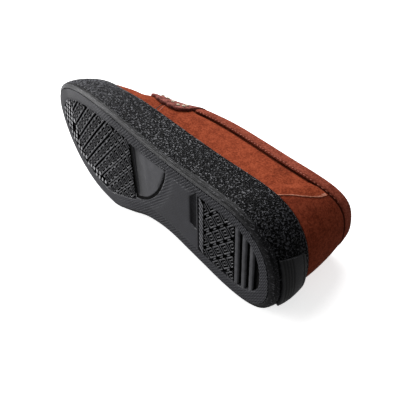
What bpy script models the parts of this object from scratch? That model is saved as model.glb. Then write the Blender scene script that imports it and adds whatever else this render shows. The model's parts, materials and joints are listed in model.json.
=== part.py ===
"""Left suede loafer on a black rubber sole, lying on its inner side.

The shoe is worked out standing: x runs from the heel to the toe, y to the outer
(lateral) side, z up from the ground, in millimetres. Spokes run from a spine along
the middle of the foot to the outline of the sole, fanned round the heel and the toe.
Every wall follows them. At the end the shoe is laid on the side it rests on.
"""

import math
from collections import namedtuple

import bmesh
import bpy
from mathutils import Matrix, Vector

MM = 0.001

# Plan of the sole.
SOLE_LENGTH = 300.0
HEEL_X = 48.0
HEEL_SPINE_Y = 1.0
HEEL_FULLNESS = 2.45
BALL_X = 212.0
BALL_SPINE_Y = -5.0
TOE_FULLNESS_LATERAL = 1.9
TOE_FULLNESS_MEDIAL = 2.1

# Sections between the heel and the ball. Lateral and medial are the half widths of the
# sole, instep the height of the last, full_lateral and full_medial the squareness of its
# section on each side, foxing the height of the side band, topline that of the collar.
SectionRow = namedtuple("SectionRow", "x lateral medial instep full_lateral full_medial foxing topline")
SECTIONS = (
    SectionRow(48, 40.0, 40.0, 122, 2.2, 1.9, 32.6, 66.9),
    SectionRow(85, 40.0, 36.6, 112, 2.4, 2.0, 32.3, 68.0),
    SectionRow(120, 40.5, 33.3, 97, 2.8, 2.3, 32.5, 68.0),
    SectionRow(150, 43.0, 37.8, 81, 3.0, 2.6, 31.6, 64.2),
    SectionRow(180, 46.0, 49.8, 67, 2.7, 2.4, 30.4, 59.0),
    SectionRow(212, 47.0, 59.1, 58, 2.2, 2.3, 29.8, 50.0),
)
HEEL_BACK_TOPLINE = 75.8
HEEL_BACK_FOXING = 31.0
HEEL_BACK_FULLNESS = 2.5
TOE_TIP_FOXING = 12.6
TOE_TIP_FULLNESS = 1.75
THROAT_X = 150.0

# The bottom rises from the ball to the toe.
SPRING = 8.5
SPRING_FROM_X = 205.0

# Walls and layers.
GAP = 0.3
PLATE_THICKNESS = 7.0
FOXING_THICKNESS = 3.5
FOXING_BOTTOM = 0.8
FOXING_LIP_RADIUS = 2.6
FOXING_EDGE_RADIUS = 1.0
FOXING_SWELL = 1.2
FOXING_SWELL_SKEW = 0.7
FOXING_HEEL_SWELL = 1.6
FOXING_TOP_LEAN = 1.6
FOXING_LEAN_SHARE = 0.85
FOXING_STATIONS = (0.4, 0.7)
UPPER_WALL = 2.2
HEEL_SWELL = 2.4
HEEL_SWELL_SKEW = 0.75
HEEL_SWELL_TOP = 78.0
HEEL_SWELL_SHARE = 0.8
HEEL_TOP_SHIFT = 2.8
INSOLE_THICKNESS = 7.0
INSOLE_INSET = 0.8
INSOLE_TAPER = 0.6

# The moccasin seam stands up from the vamp, and the tongue reaches back over the throat.
SEAM_SHARE = 0.62
SEAM_HALF_WIDTH = 0.03
SEAM_HEIGHT = 1.2
SEAM_FROM_X = 205.0
TONGUE_REACH = 16.0
TONGUE_FADE = 40.0
TONGUE_FROM_SHARE = 0.6

# Overlays on the upper.
BINDING_WIDTH = 7.4
BINDING_WIDTH_BACK = 6.4
BINDING_THICKNESS = 1.5
BINDING_RISE = 1.6
BINDING_END_GAP = 0.8
COUNTER_THICKNESS = 1.2
COUNTER_LIFT = 0.4
COUNTER_TURN_LOW = math.radians(12)
COUNTER_TURN_HIGH = math.radians(29)
STRAP_THICKNESS = 2.2
STRAP_LIFT = 0.45
STRAP_END_BACK_Z = 46.8
STRAP_END_FALL = 0.115
LABEL_THICKNESS = 1.7
LABEL_TURN_LATERAL_LOW = math.radians(71)
LABEL_TURN_LATERAL_HIGH = math.radians(79)
LABEL_TURN_MEDIAL = math.radians(60)
LABEL_LOW = 6.2
LABEL_HIGH = 26.5

# Edges of the strap by its way from the end on the side, 0, to the ridge, 1.
StrapRow = namedtuple("StrapRow", "way back_x front_x")
STRAP = (
    StrapRow(0.00, 157.0, 193.0),
    StrapRow(0.06, 154.0, 196.5),
    StrapRow(0.22, 155.5, 197.0),
    StrapRow(0.40, 159.0, 196.0),
    StrapRow(0.70, 159.5, 193.0),
    StrapRow(1.00, 160.0, 191.0),
)

# Tread. The borders are measured in from the outline.
HEEL_BORDER = 11.5
FOREFOOT_BORDER = 12.5
TOE_BORDER = 13.5
MEDIAL_BORDER_EXTRA = 1.8
FOREFOOT_BACK_LATERAL_X = 157.0
FOREFOOT_BACK_MEDIAL_X = 163.5
FOREFOOT_DEPTH = 2.2
ROW_TURN = math.radians(-42)
ROW_PITCH = 10.1
ROW_WIDTH = 8.3
ROW_FIRST = 106.8
ROW_COUNT = 9
ROW_MIDDLE = 160.0
ROW_LENGTH = 200.0
BORDER_CHANGE_X = 120.0
PAD_REACH_X = 47.0
PAD_LATERAL_Y = 30.5
PAD_MEDIAL_Y = -24.0
PAD_FULLNESS = 1.55
PAD_DEPTH = 0.9
PAD_GAP = 2.0
CROSS_LINE_Y = 30.0
HEEL_FRONT_LATERAL_X = 70.2
HEEL_FRONT_MEDIAL_X = 79.2
HEEL_DEPTH = 2.4
BLOCK_LENGTH = 9.6
BLOCK_WIDTH = 7.8
BLOCK_PITCH_LONG = 11.5
BLOCK_PITCH_WIDE = 9.8
BLOCK_START_X = 52.9
BLOCK_START_Y = 6.1
BLOCK_BACK_X = 38.0
BLOCK_BACK_SLANT = 3.6
BLOCK_REACH_Y = 26.0
BLOCK_REACH = 6
BAR_WIDTH = 4.0
BAR_LENGTH = 80.0
BAR_TILT = math.radians(7)
BAR_CENTRES_X = (34.3, 27.1, 19.7)
ROPE_WIDTH = 4.4
ROPE_BEHIND_FRONT = 3.3
ROPE_TILT = math.radians(8.5)
ROPE_CLEAR = 3.0
LUG_TOP = 0.3

# Grams per cubic centimetre, for the side the shoe comes to rest on.
DENSITIES = {"rubber": 1.1, "suede": 0.9, "fabric": 0.3}

# Steps of the walls.
TOE_STEPS = 10
VAMP_STEPS = 6
QUARTER_STEPS = 10
HEEL_STEPS = 8
LOW_STEPS = 10
HIGH_SHARES = (0.55, 0.59, 0.62, 0.65, 0.72, 0.80, 0.88, 0.94, 1.0)
LOW_SHARE = 0.5
COVER_STEPS = 4
SPRING_STEPS = 10
PAD_STEPS = 12
LABEL_STEPS_ROUND = 14
LABEL_STEPS_UP = 5
COUNTER_STEPS_ROUND = 18
COUNTER_STEPS_UP = 7
STRAP_STEPS = 8
STRAP_WAYS = (0.0, 0.06, 0.14, 0.22, 0.3, 0.4, 0.5, 0.6, 0.7, 0.8, 0.9, 1.0)

Spoke = namedtuple("Spoke", "x side spine rim normal instep fullness foxing topline swell")


def along(x, column):
    """One column of SECTIONS at x, smooth and level at both ends."""
    xs = [row.x for row in SECTIONS]
    ys = [getattr(row, column) for row in SECTIONS]
    x = min(max(x, xs[0]), xs[-1])
    slopes = [0.0] * len(xs)
    for i in range(1, len(xs) - 1):
        slopes[i] = (ys[i + 1] - ys[i - 1]) / (xs[i + 1] - xs[i - 1])
    i = max(k for k in range(len(xs) - 1) if xs[k] <= x)
    span = xs[i + 1] - xs[i]
    t = (x - xs[i]) / span
    rise = ys[i + 1] - ys[i]
    start = slopes[i] * span
    end = slopes[i + 1] * span
    return ys[i] + t * (start + t * (3 * rise - 2 * start - end + t * (start + end - 2 * rise)))


def spine_y(x):
    share = min(max((x - HEEL_X) / (BALL_X - HEEL_X), 0.0), 1.0)
    return HEEL_SPINE_Y + (BALL_SPINE_Y - HEEL_SPINE_Y) * share


def half_width(x, side):
    return along(x, "lateral") if side > 0 else along(x, "medial")


def fullness(x, side):
    return along(x, "full_lateral") if side > 0 else along(x, "full_medial")


def rounded(turn, full):
    """Sine and cosine of a turn, squared off by the fullness of a superellipse."""
    power = 2.0 / full
    return max(math.sin(turn), 0.0) ** power, max(math.cos(turn), 0.0) ** power


def side_rim(x, side):
    return Vector((x, side * half_width(x, side)))


def heel_rim(turn, side):
    out, across = rounded(turn, HEEL_FULLNESS)
    wide = side * half_width(HEEL_X, side) - HEEL_SPINE_Y
    return Vector((HEEL_X * (1 - out), HEEL_SPINE_Y + wide * across))


def toe_rim(turn, side):
    out, across = rounded(turn, TOE_FULLNESS_LATERAL if side > 0 else TOE_FULLNESS_MEDIAL)
    wide = side * half_width(BALL_X, side) - BALL_SPINE_Y
    return Vector((BALL_X + (SOLE_LENGTH - BALL_X) * out, BALL_SPINE_Y + wide * across))


def spoke_at(place, value, side):
    """A spoke of the heel fan, the toe fan or the sides, without its normal."""
    if place == "side":
        spine = Vector((value, spine_y(value)))
        return Spoke(value, side, spine, side_rim(value, side), None, along(value, "instep"),
                     fullness(value, side), along(value, "foxing"), along(value, "topline"), 0.0)
    row = SECTIONS[0] if place == "heel" else SECTIONS[-1]
    full = fullness(row.x, side)
    back = math.sin(value) ** 2
    if place == "heel":
        return Spoke(HEEL_X, side, Vector((HEEL_X, HEEL_SPINE_Y)), heel_rim(value, side), None,
                     row.instep, full + (HEEL_BACK_FULLNESS - full) * back**2,
                     row.foxing + (HEEL_BACK_FOXING - row.foxing) * back,
                     row.topline + (HEEL_BACK_TOPLINE - row.topline) * back, back)
    rim = toe_rim(value, side)
    share = ((rim.x - BALL_X) / (SOLE_LENGTH - BALL_X)) ** 2
    full += (TOE_TIP_FULLNESS - full) * back
    return Spoke(BALL_X, side, Vector((BALL_X, BALL_SPINE_Y)), rim, None, row.instep,
                 full, row.foxing + (TOE_TIP_FOXING - row.foxing) * share, row.topline, 0.0)


def rim_normal(place, value, side):
    """Outward normal of the outline at a spoke, from its neighbours on both sides."""
    step = 0.02 if place != "side" else 0.5
    ahead = spoke_at(place, min(value + step, math.pi / 2 if place != "side" else BALL_X), side).rim
    behind = spoke_at(place, max(value - step, 0.0 if place != "side" else HEEL_X), side).rim
    run = ahead - behind
    normal = Vector((run.y, -run.x)).normalized()
    outward = spoke_at(place, value, side).rim - spoke_at(place, value, side).spine
    if normal.dot(outward) < 0:
        normal = -normal
    if place != "side" and value > math.pi / 2 - step:
        normal = Vector((-1.0 if place == "heel" else 1.0, 0.0))
    if place == "side" and value in (HEEL_X, BALL_X) or place != "side" and value < step:
        normal = Vector((0.0, side))
    return normal


def spoke(place, value, side):
    return spoke_at(place, value, side)._replace(normal=rim_normal(place, value, side))


def spread(first, last, steps):
    return [first + (last - first) * i / steps for i in range(steps)]


def spoke_loop():
    """All spokes round the shoe from the toe tip along the lateral side and back."""
    quarter = math.pi / 2
    half = [("toe", turn) for turn in spread(quarter, 0.0, TOE_STEPS)]
    half += [("side", x) for x in spread(BALL_X, THROAT_X, VAMP_STEPS)]
    half += [("side", x) for x in spread(THROAT_X, HEEL_X, QUARTER_STEPS)]
    half += [("heel", turn) for turn in spread(0.0, quarter, HEEL_STEPS)]
    loop = [spoke(place, value, 1) for place, value in half]
    loop.append(spoke("heel", quarter, 1))
    loop += [spoke(place, value, -1) for place, value in reversed(half[1:])]
    return loop


SPOKES = spoke_loop()
LATERAL_THROAT = TOE_STEPS + VAMP_STEPS
MEDIAL_THROAT = len(SPOKES) - LATERAL_THROAT
BASE_INSET = FOXING_THICKNESS + GAP
UPPER_BOTTOM = PLATE_THICKNESS + GAP


def ring(inset, chosen=None):
    """Plan points of the outline drawn in by a distance along its normals."""
    return [s.rim - s.normal * inset for s in (chosen or SPOKES)]


def swell_at(s, z):
    share = min(max((z - UPPER_BOTTOM) / (HEEL_SWELL_TOP - UPPER_BOTTOM), 0.0), 1.0)
    return s.swell * HEEL_SWELL * math.sin(math.pi * share**HEEL_SWELL_SKEW)


def heel_shift(s, z):
    """How far the back of the heel stands over to the outer side at a height."""
    rise = min(max((z - UPPER_BOTTOM) / (s.topline - UPPER_BOTTOM), 0.0), 1.0)
    return Vector((0.0, s.swell * HEEL_TOP_SHIFT * rise * rise))


def wall_plan(s, z):
    """Where the outer face of the upper stands on a spoke at a height."""
    base = s.rim - s.normal * BASE_INSET
    rise = min(max((z - UPPER_BOTTOM) / (s.instep - UPPER_BOTTOM), 0.0), 1.0)
    keep = (1 - rise**s.fullness) ** (1 / s.fullness)
    return s.spine + (base - s.spine) * keep + s.normal * swell_at(s, z) + heel_shift(s, z)


def wall(s, z, out=0.0):
    """A point of the upper's outer face, or of a copy of it moved out."""
    low = wall_plan(s, z - 0.5)
    high = wall_plan(s, z + 0.5)
    lean = (low - high).dot(s.normal)
    facing = Vector((s.normal.x, s.normal.y, lean)).normalized()
    plan = wall_plan(s, z)
    return Vector((plan.x, plan.y, z)) + facing * out


def vault(s, share):
    """A point of the upper's outer face by its share of the way to the ridge."""
    up, keep = rounded(share * math.pi / 2, s.fullness)
    base = s.rim - s.normal * BASE_INSET
    plan = s.spine + (base - s.spine) * keep
    return Vector((plan.x, plan.y, UPPER_BOTTOM + (s.instep - UPPER_BOTTOM) * up))


def share_at(s, z):
    rise = (z - UPPER_BOTTOM) / (s.instep - UPPER_BOTTOM)
    return math.asin(rise ** (s.fullness / 2)) / (math.pi / 2)


def sprung(point):
    """The point with the rise of the toe added."""
    past = max(point[0] - SPRING_FROM_X, 0.0) / (SOLE_LENGTH - SPRING_FROM_X)
    return Vector((point[0], point[1], point[2] + SPRING * past * past))


def mesh_object(name, bm, material):
    """An object of a bmesh drawn in millimetres, welded and facing out."""
    bmesh.ops.remove_doubles(bm, verts=bm.verts, dist=0.002)
    bmesh.ops.recalc_face_normals(bm, faces=bm.faces)
    bmesh.ops.scale(bm, vec=(MM, MM, MM), verts=bm.verts)
    mesh = bpy.data.meshes.new(name)
    bm.to_mesh(mesh)
    bm.free()
    obj = bpy.data.objects.new(name, mesh)
    bpy.context.collection.objects.link(obj)
    if material:
        mesh.materials.append(material)
    return obj


def quads(bm, rows, closed_rows=False, closed_columns=False):
    """Faces between rows of points of the same length."""
    grid = [[bm.verts.new(p) for p in row] for row in rows]
    last_row = len(grid) if closed_rows else len(grid) - 1
    width = len(grid[0])
    last_column = width if closed_columns else width - 1
    for i in range(last_row):
        near = grid[i]
        far = grid[(i + 1) % len(grid)]
        for j in range(last_column):
            k = (j + 1) % width
            bm.faces.new((near[j], near[k], far[k], far[j]))
    return grid


def material(name, colour, roughness):
    made = bpy.data.materials.new(name)
    made.use_nodes = True
    shader = made.node_tree.nodes["Principled BSDF"]
    shader.inputs["Base Color"].default_value = (*colour, 1.0)
    shader.inputs["Roughness"].default_value = roughness
    return made


def prism(bm, outline, low, high):
    """A closed prism over a plan outline."""
    bottom = [bm.verts.new((p[0], p[1], low)) for p in outline]
    top = [bm.verts.new((p[0], p[1], high)) for p in outline]
    bm.faces.new(list(reversed(bottom)))
    bm.faces.new(top)
    count = len(outline)
    for i in range(count):
        j = (i + 1) % count
        bm.faces.new((bottom[i], bottom[j], top[j], top[i]))


def box_plan(centre, length, width, turn):
    """The corners of a rectangle turned about its centre."""
    along_x = Vector((math.cos(turn), math.sin(turn))) * length / 2
    along_y = Vector((-math.sin(turn), math.cos(turn))) * width / 2
    centre = Vector(centre)
    return [centre - along_x - along_y, centre + along_x - along_y,
            centre + along_x + along_y, centre - along_x + along_y]


def helper(name, outlines, low, high):
    """Prisms that only cut or add, hidden from the render."""
    bm = bmesh.new()
    for outline in outlines:
        prism(bm, outline, low, high)
    obj = mesh_object(name, bm, None)
    obj.hide_render = True
    obj.display_type = "WIRE"
    return obj


def combine(obj, other, operation):
    step = obj.modifiers.new(f"{operation.lower()} {other.name}", "BOOLEAN")
    step.operation = operation
    step.solver = "EXACT"
    step.object = other


def clip_behind(outline, lateral_x, medial_x, keep_front):
    """The part of an outline in front of or behind a line across the sole."""
    def depth(p):
        share = (CROSS_LINE_Y - p[1]) / (2 * CROSS_LINE_Y)
        return (p[0] - lateral_x - (medial_x - lateral_x) * share) * (1 if keep_front else -1)
    kept = []
    for i, p in enumerate(outline):
        q = outline[(i + 1) % len(outline)]
        if depth(p) >= 0:
            kept.append(p)
        if depth(p) * depth(q) < 0:
            kept.append(p + (q - p) * (depth(p) / (depth(p) - depth(q))))
    return kept


def tread_ring(inset):
    """Outline of the tread pockets, with a wider border at the toe."""
    points = []
    for s in SPOKES:
        toe = max(s.rim.x - BALL_X, 0.0) / (SOLE_LENGTH - BALL_X)
        border = HEEL_BORDER if s.rim.x < BORDER_CHANGE_X else FOREFOOT_BORDER
        border += (TOE_BORDER - FOREFOOT_BORDER) * toe + MEDIAL_BORDER_EXTRA * max(-s.normal.y, 0.0)
        points.append(s.rim - s.normal * (border + inset))
    return points


def forefoot_outline(inset):
    return clip_behind(tread_ring(inset), FOREFOOT_BACK_LATERAL_X + inset,
                       FOREFOOT_BACK_MEDIAL_X + inset, True)


def heel_outline(inset):
    return clip_behind(tread_ring(inset), HEEL_FRONT_LATERAL_X - inset,
                       HEEL_FRONT_MEDIAL_X - inset, False)


def pad_outline():
    """A quarter round pad behind the forefoot tread, deepest at the lateral side."""
    front = FOREFOOT_BACK_LATERAL_X - PAD_GAP
    drop = FOREFOOT_BACK_MEDIAL_X - FOREFOOT_BACK_LATERAL_X
    arc = []
    for i in range(PAD_STEPS + 1):
        across, out = rounded(math.pi / 2 * i / PAD_STEPS, PAD_FULLNESS)
        arc.append(Vector((front - PAD_REACH_X * out + drop * across,
                           PAD_LATERAL_Y + (PAD_MEDIAL_Y - PAD_LATERAL_Y) * across)))
    return [Vector((front, PAD_LATERAL_Y))] + arc


def forefoot_rows():
    across = Vector((-math.sin(ROW_TURN), math.cos(ROW_TURN)))
    direction = Vector((math.cos(ROW_TURN), math.sin(ROW_TURN)))
    rows = []
    for i in range(ROW_COUNT):
        centre = direction * ROW_MIDDLE + across * (ROW_FIRST + ROW_PITCH * i)
        rows.append(box_plan(centre, ROW_LENGTH, ROW_WIDTH, ROW_TURN))
    return rows


def heel_blocks():
    """Blocks in diagonal rows between the front strip and the first bar."""
    along_row = Vector((math.cos(ROW_TURN), math.sin(ROW_TURN)))
    across = Vector((-math.sin(ROW_TURN), math.cos(ROW_TURN)))
    reach = range(-BLOCK_REACH, BLOCK_REACH + 1)
    centres = [Vector((BLOCK_START_X, BLOCK_START_Y)) + along_row * (BLOCK_PITCH_LONG * i)
               + across * (BLOCK_PITCH_WIDE * j) for i in reach for j in reach]
    return [box_plan(centre, BLOCK_LENGTH, BLOCK_WIDTH, ROW_TURN) for centre in centres
            if BLOCK_BACK_X - BLOCK_LENGTH / 2 < centre.x < HEEL_FRONT_MEDIAL_X
            and abs(centre.y) < BLOCK_REACH_Y]


def block_outline(inset):
    """The part of the heel pocket that holds the blocks."""
    behind_rope = ROPE_WIDTH + ROPE_CLEAR
    front = clip_behind(heel_outline(inset), HEEL_FRONT_LATERAL_X - behind_rope,
                        HEEL_FRONT_MEDIAL_X - behind_rope, False)
    return clip_behind(front, BLOCK_BACK_X - BLOCK_BACK_SLANT, BLOCK_BACK_X + BLOCK_BACK_SLANT, True)


def heel_bars():
    bars = [box_plan((x, 0.0), BAR_WIDTH, BAR_LENGTH, BAR_TILT) for x in BAR_CENTRES_X]
    rope_x = (HEEL_FRONT_LATERAL_X + HEEL_FRONT_MEDIAL_X) / 2 - ROPE_BEHIND_FRONT
    bars.append(box_plan((rope_x, 0.0), ROPE_WIDTH, BAR_LENGTH, ROPE_TILT))
    return bars


def outsole(rubber):
    """The bottom plate with its tread, cut flat and then bent up at the toe."""
    bm = bmesh.new()
    prism(bm, ring(BASE_INSET), 0.0, PLATE_THICKNESS)
    plate = mesh_object("outsole flat", bm, None)
    helpers = [plate]
    rest = 1.0
    pockets = (("forefoot pocket", forefoot_outline(0.0), FOREFOOT_DEPTH),
               ("heel pocket", heel_outline(0.0), HEEL_DEPTH),
               ("pad pocket", pad_outline(), PAD_DEPTH))
    for name, outline, depth in pockets:
        cutter = helper(name, [outline], -rest, depth)
        combine(plate, cutter, "DIFFERENCE")
        helpers.append(cutter)
    lugs = (("forefoot rows", forefoot_rows(), forefoot_outline(GAP * 4), FOREFOOT_DEPTH),
            ("heel blocks", heel_blocks(), block_outline(GAP * 4), HEEL_DEPTH),
            ("heel bars", heel_bars(), heel_outline(GAP * 4), HEEL_DEPTH))
    for name, outlines, limit, depth in lugs:
        limiter = helper(name + " limit", [limit], LUG_TOP, depth + rest)
        lug = helper(name, outlines, LUG_TOP - rest, depth + rest * 2)
        combine(lug, limiter, "INTERSECT")
        combine(plate, lug, "UNION")
        helpers += [limiter, lug]
    bpy.context.view_layer.update()
    flat = plate.evaluated_get(bpy.context.evaluated_depsgraph_get())
    bm = bmesh.new()
    bm.from_mesh(flat.to_mesh())
    bmesh.ops.scale(bm, vec=(1 / MM, 1 / MM, 1 / MM), verts=bm.verts)
    for x in spread(SPRING_FROM_X, SOLE_LENGTH, SPRING_STEPS):
        bmesh.ops.bisect_plane(bm, geom=bm.verts[:] + bm.edges[:] + bm.faces[:], dist=0.01,
                               plane_co=(x, 0, 0), plane_no=(1, 0, 0))
    for v in bm.verts:
        v.co = sprung(v.co)
    bmesh.ops.triangulate(bm, faces=bm.faces[:])
    for obj in reversed(helpers):
        bpy.data.objects.remove(obj)
    return mesh_object("outsole", bm, rubber)


def foxing_plan(s, z, inset=0.0):
    """Where the outer face of the foxing stands on a spoke at a height."""
    base = s.rim - s.normal * BASE_INSET
    bare = wall_plan(s, z) - s.normal * swell_at(s, z) - heel_shift(s, z)
    lean = max((base - bare).dot(s.normal), 0.0)
    share = min(max(z / s.foxing, 0.0), 1.0)
    swell = FOXING_SWELL + FOXING_HEEL_SWELL * s.swell
    out = swell * math.sin(math.pi * share**FOXING_SWELL_SKEW) - FOXING_LEAN_SHARE * lean
    out -= FOXING_TOP_LEAN * share
    return s.rim + s.normal * (out + HEEL_SWELL_SHARE * swell_at(s, z) - inset)


def foxing_profile(s):
    """One section of the foxing, round from the inner foot of the band."""
    low = FOXING_BOTTOM
    top = s.foxing
    lip = FOXING_LIP_RADIUS
    edge = FOXING_EDGE_RADIUS
    corner = 1 - math.sqrt(0.5)
    cover = top - UPPER_BOTTOM
    inner = [(low, None)] + [(top - cover * i / COVER_STEPS, None) for i in range(COVER_STEPS + 1)]
    outer = [(low, lip), (low + lip * corner, lip * corner), (low + lip, 0.0)]
    outer += [(top * share, 0.0) for share in FOXING_STATIONS]
    outer += [(top - edge, 0.0), (top - edge * corner, edge * corner), (top, edge)]
    points = []
    for z, inset in inner[:1] + outer + inner[1:]:
        if inset is None:
            plan = wall_plan(s, z) + s.normal * GAP
        else:
            plan = foxing_plan(s, z, inset)
        points.append(sprung((plan.x, plan.y, z)))
    return points


def foxing(rubber):
    bm = bmesh.new()
    quads(bm, [foxing_profile(s) for s in SPOKES], closed_rows=True, closed_columns=True)
    return mesh_object("foxing", bm, rubber)


def heel_turn(turn):
    """A spoke of the heel by its turn from the lateral side, 0 to pi."""
    side = 1 if turn <= math.pi / 2 else -1
    return spoke("heel", min(turn, math.pi - turn), side)


def slab(name, near, far, finish):
    """A closed sheet between two grids of points of the same size."""
    bm = bmesh.new()
    a = quads(bm, near)
    b = quads(bm, far)
    rows = len(a)
    columns = len(a[0])
    edge = [(0, j) for j in range(columns)] + [(i, columns - 1) for i in range(1, rows)]
    edge += [(rows - 1, j) for j in range(columns - 2, -1, -1)] + [(i, 0) for i in range(rows - 2, 0, -1)]
    for k, (i, j) in enumerate(edge):
        m, n = edge[(k + 1) % len(edge)]
        bm.faces.new((a[i][j], a[m][n], b[m][n], b[i][j]))
    return mesh_object(name, bm, finish)


def heel_label(rubber):
    """A raised bare plate on the back of the foxing."""
    near, far = [], []
    for i in range(LABEL_STEPS_UP + 1):
        rise = i / LABEL_STEPS_UP
        z = LABEL_LOW + (LABEL_HIGH - LABEL_LOW) * rise
        start = LABEL_TURN_LATERAL_LOW + (LABEL_TURN_LATERAL_HIGH - LABEL_TURN_LATERAL_LOW) * rise
        arc = math.pi - start - LABEL_TURN_MEDIAL
        inner, outer = [], []
        for j in range(LABEL_STEPS_ROUND + 1):
            s = heel_turn(start + arc * j / LABEL_STEPS_ROUND)
            plan = foxing_plan(s, z)
            inner.append(sprung((*(plan + s.normal * GAP), z)))
            outer.append(sprung((*(plan + s.normal * (GAP + LABEL_THICKNESS)), z)))
        near.append(inner)
        far.append(outer)
    return slab("heel_label", near, far, rubber)


def insole(fabric):
    """The footbed, a thin slab between the walls of the upper."""
    bm = bmesh.new()
    top = UPPER_BOTTOM + INSOLE_THICKNESS
    rows = []
    for z, taper in ((UPPER_BOTTOM, INSOLE_TAPER), (top, 0.0)):
        row = []
        for s in SPOKES:
            plan = wall_plan(s, top) - s.normal * (UPPER_WALL + INSOLE_INSET + taper)
            row.append(sprung((plan.x, plan.y, z)))
        rows.append(row)
    quads(bm, rows, closed_columns=True)
    bm.verts.ensure_lookup_table()
    count = len(SPOKES)
    half = count // 2
    for start in (0, count):
        for i in range(half):
            j = (count - i) % count
            k = count - i - 1
            corners = [start + i, start + i + 1, start + k, start + j]
            bm.faces.new([bm.verts[n] for n in dict.fromkeys(corners)])
    return mesh_object("insole", bm, fabric)


def low_share(s):
    """Share of the way to the ridge where the line of the topline runs on along the vamp."""
    throat = share_at(spoke("side", THROAT_X, s.side), along(THROAT_X, "topline"))
    return throat + (LOW_SHARE - throat) * (s.x - THROAT_X) / (BALL_X - THROAT_X)


def upper_low(s):
    """The wall of one spoke up to the topline, or to its line along the vamp."""
    points = []
    for j in range(LOW_STEPS + 1):
        share = j / LOW_STEPS
        if s.x >= THROAT_X:
            points.append(vault(s, low_share(s) * share))
        else:
            points.append(wall(s, UPPER_BOTTOM + (s.topline - UPPER_BOTTOM) * share))
    return points


def upper_high(s, place):
    """The vamp of one spoke from the topline to the ridge, drawn back near the throat."""
    points = []
    for share in (low_share(s), *HIGH_SHARES):
        here = s
        if place == "side":
            rise = max((share - TONGUE_FROM_SHARE) / (1 - TONGUE_FROM_SHARE), 0.0)
            fade = max(1 - (s.x - THROAT_X) / TONGUE_FADE, 0.0)
            here = spoke("side", s.x - TONGUE_REACH * fade * rise * (2 - rise), s.side)
        point = vault(here, share)
        if abs(share - SEAM_SHARE) < SEAM_HALF_WIDTH / 2 and (place == "toe" or s.x > SEAM_FROM_X):
            point += (point - Vector((s.spine.x, s.spine.y, UPPER_BOTTOM))).normalized() * SEAM_HEIGHT
        points.append(point)
    return points


def upper_grid(bm):
    lows = [[sprung(p) for p in upper_low(s)] for s in SPOKES]
    quads(bm, lows, closed_rows=True)
    vamp = []
    for i in range(-LATERAL_THROAT, LATERAL_THROAT + 1):
        s = SPOKES[i]
        place = "toe" if abs(i) < TOE_STEPS else "side"
        vamp.append([sprung(p) for p in upper_high(s, place)])
    quads(bm, vamp)


def upper(suede):
    """The hollow shell, open at the collar and underneath."""
    bm = bmesh.new()
    upper_grid(bm)
    obj = mesh_object("upper", bm, suede)
    if sum(f.normal.z * f.area for f in obj.data.polygons) < 0:
        obj.data.flip_normals()
    shell = obj.modifiers.new("wall", "SOLIDIFY")
    shell.thickness = UPPER_WALL * MM
    shell.offset = -1.0
    shell.use_even_offset = True
    return obj


def binding_width(s):
    """The strip is narrower at the back of the heel."""
    return BINDING_WIDTH + (BINDING_WIDTH_BACK - BINDING_WIDTH) * s.swell


def binding_profile(s):
    """One section of the strip folded over the topline."""
    top = s.topline
    foot = top - binding_width(s)
    inner = -UPPER_WALL - 1.5 * GAP
    outer_face = GAP + BINDING_THICKNESS
    inner_face = inner - BINDING_THICKNESS
    middle = top - binding_width(s) / 2
    shoulder = top + BINDING_RISE * 0.75
    rows = ((foot, GAP), (foot, outer_face), (middle, outer_face), (top, outer_face),
            (shoulder, outer_face * 0.6), (top + BINDING_RISE, -UPPER_WALL / 2),
            (shoulder, inner_face * 0.8), (top, inner_face), (middle, inner_face),
            (foot, inner_face), (foot, inner), (middle, inner), (top + GAP, inner),
            (top + GAP, GAP), (middle, GAP))
    return [sprung(wall(s, z, out)) for z, out in rows]


def collar_binding(suede):
    bm = bmesh.new()
    ends = [spoke("side", THROAT_X - BINDING_END_GAP, side) for side in (1, -1)]
    chosen = ends[:1] + SPOKES[LATERAL_THROAT + 1:MEDIAL_THROAT] + ends[1:]
    grid = quads(bm, [binding_profile(s) for s in chosen], closed_columns=True)
    bm.faces.new(grid[0])
    bm.faces.new(grid[-1])
    return mesh_object("collar_binding", bm, suede)


def heel_counter(suede):
    """An overlay round the heel, from the foxing up to the binding."""
    near, far = [], []
    for i in range(COUNTER_STEPS_UP + 1):
        rise = i / COUNTER_STEPS_UP
        edge = COUNTER_TURN_LOW + (COUNTER_TURN_HIGH - COUNTER_TURN_LOW) * rise
        inner, outer = [], []
        for j in range(COUNTER_STEPS_ROUND + 1):
            s = heel_turn(edge + (math.pi - 2 * edge) * j / COUNTER_STEPS_ROUND)
            low = s.foxing + 2 * GAP
            z = low + (s.topline - binding_width(s) - 2 * GAP - low) * rise
            inner.append(sprung(wall(s, z, COUNTER_LIFT)))
            outer.append(sprung(wall(s, z, COUNTER_LIFT + COUNTER_THICKNESS)))
        near.append(inner)
        far.append(outer)
    return slab("heel_counter", near, far, suede)


def vamp_point(x, side, share, out):
    """A point of the vamp's outer face moved out along its normal."""
    here = vault(spoke("side", x, side), share)
    fore = vault(spoke("side", x + 0.5, side), share) - vault(spoke("side", x - 0.5, side), share)
    up = here - vault(spoke("side", x, side), share - 0.01)
    facing = fore.cross(up).normalized()
    if facing.dot(here - Vector((x, spine_y(x), UPPER_BOTTOM))) < 0:
        facing = -facing
    return here + facing * out


def strap_edges(way):
    """Back and front of the strap at a way, straight between the rows of its table."""
    low, high = next((a, b) for a, b in zip(STRAP, STRAP[1:]) if way <= b.way)
    share = (way - low.way) / (high.way - low.way)
    back = low.back_x + (high.back_x - low.back_x) * share
    front = low.front_x + (high.front_x - low.front_x) * share
    return back, front


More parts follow.
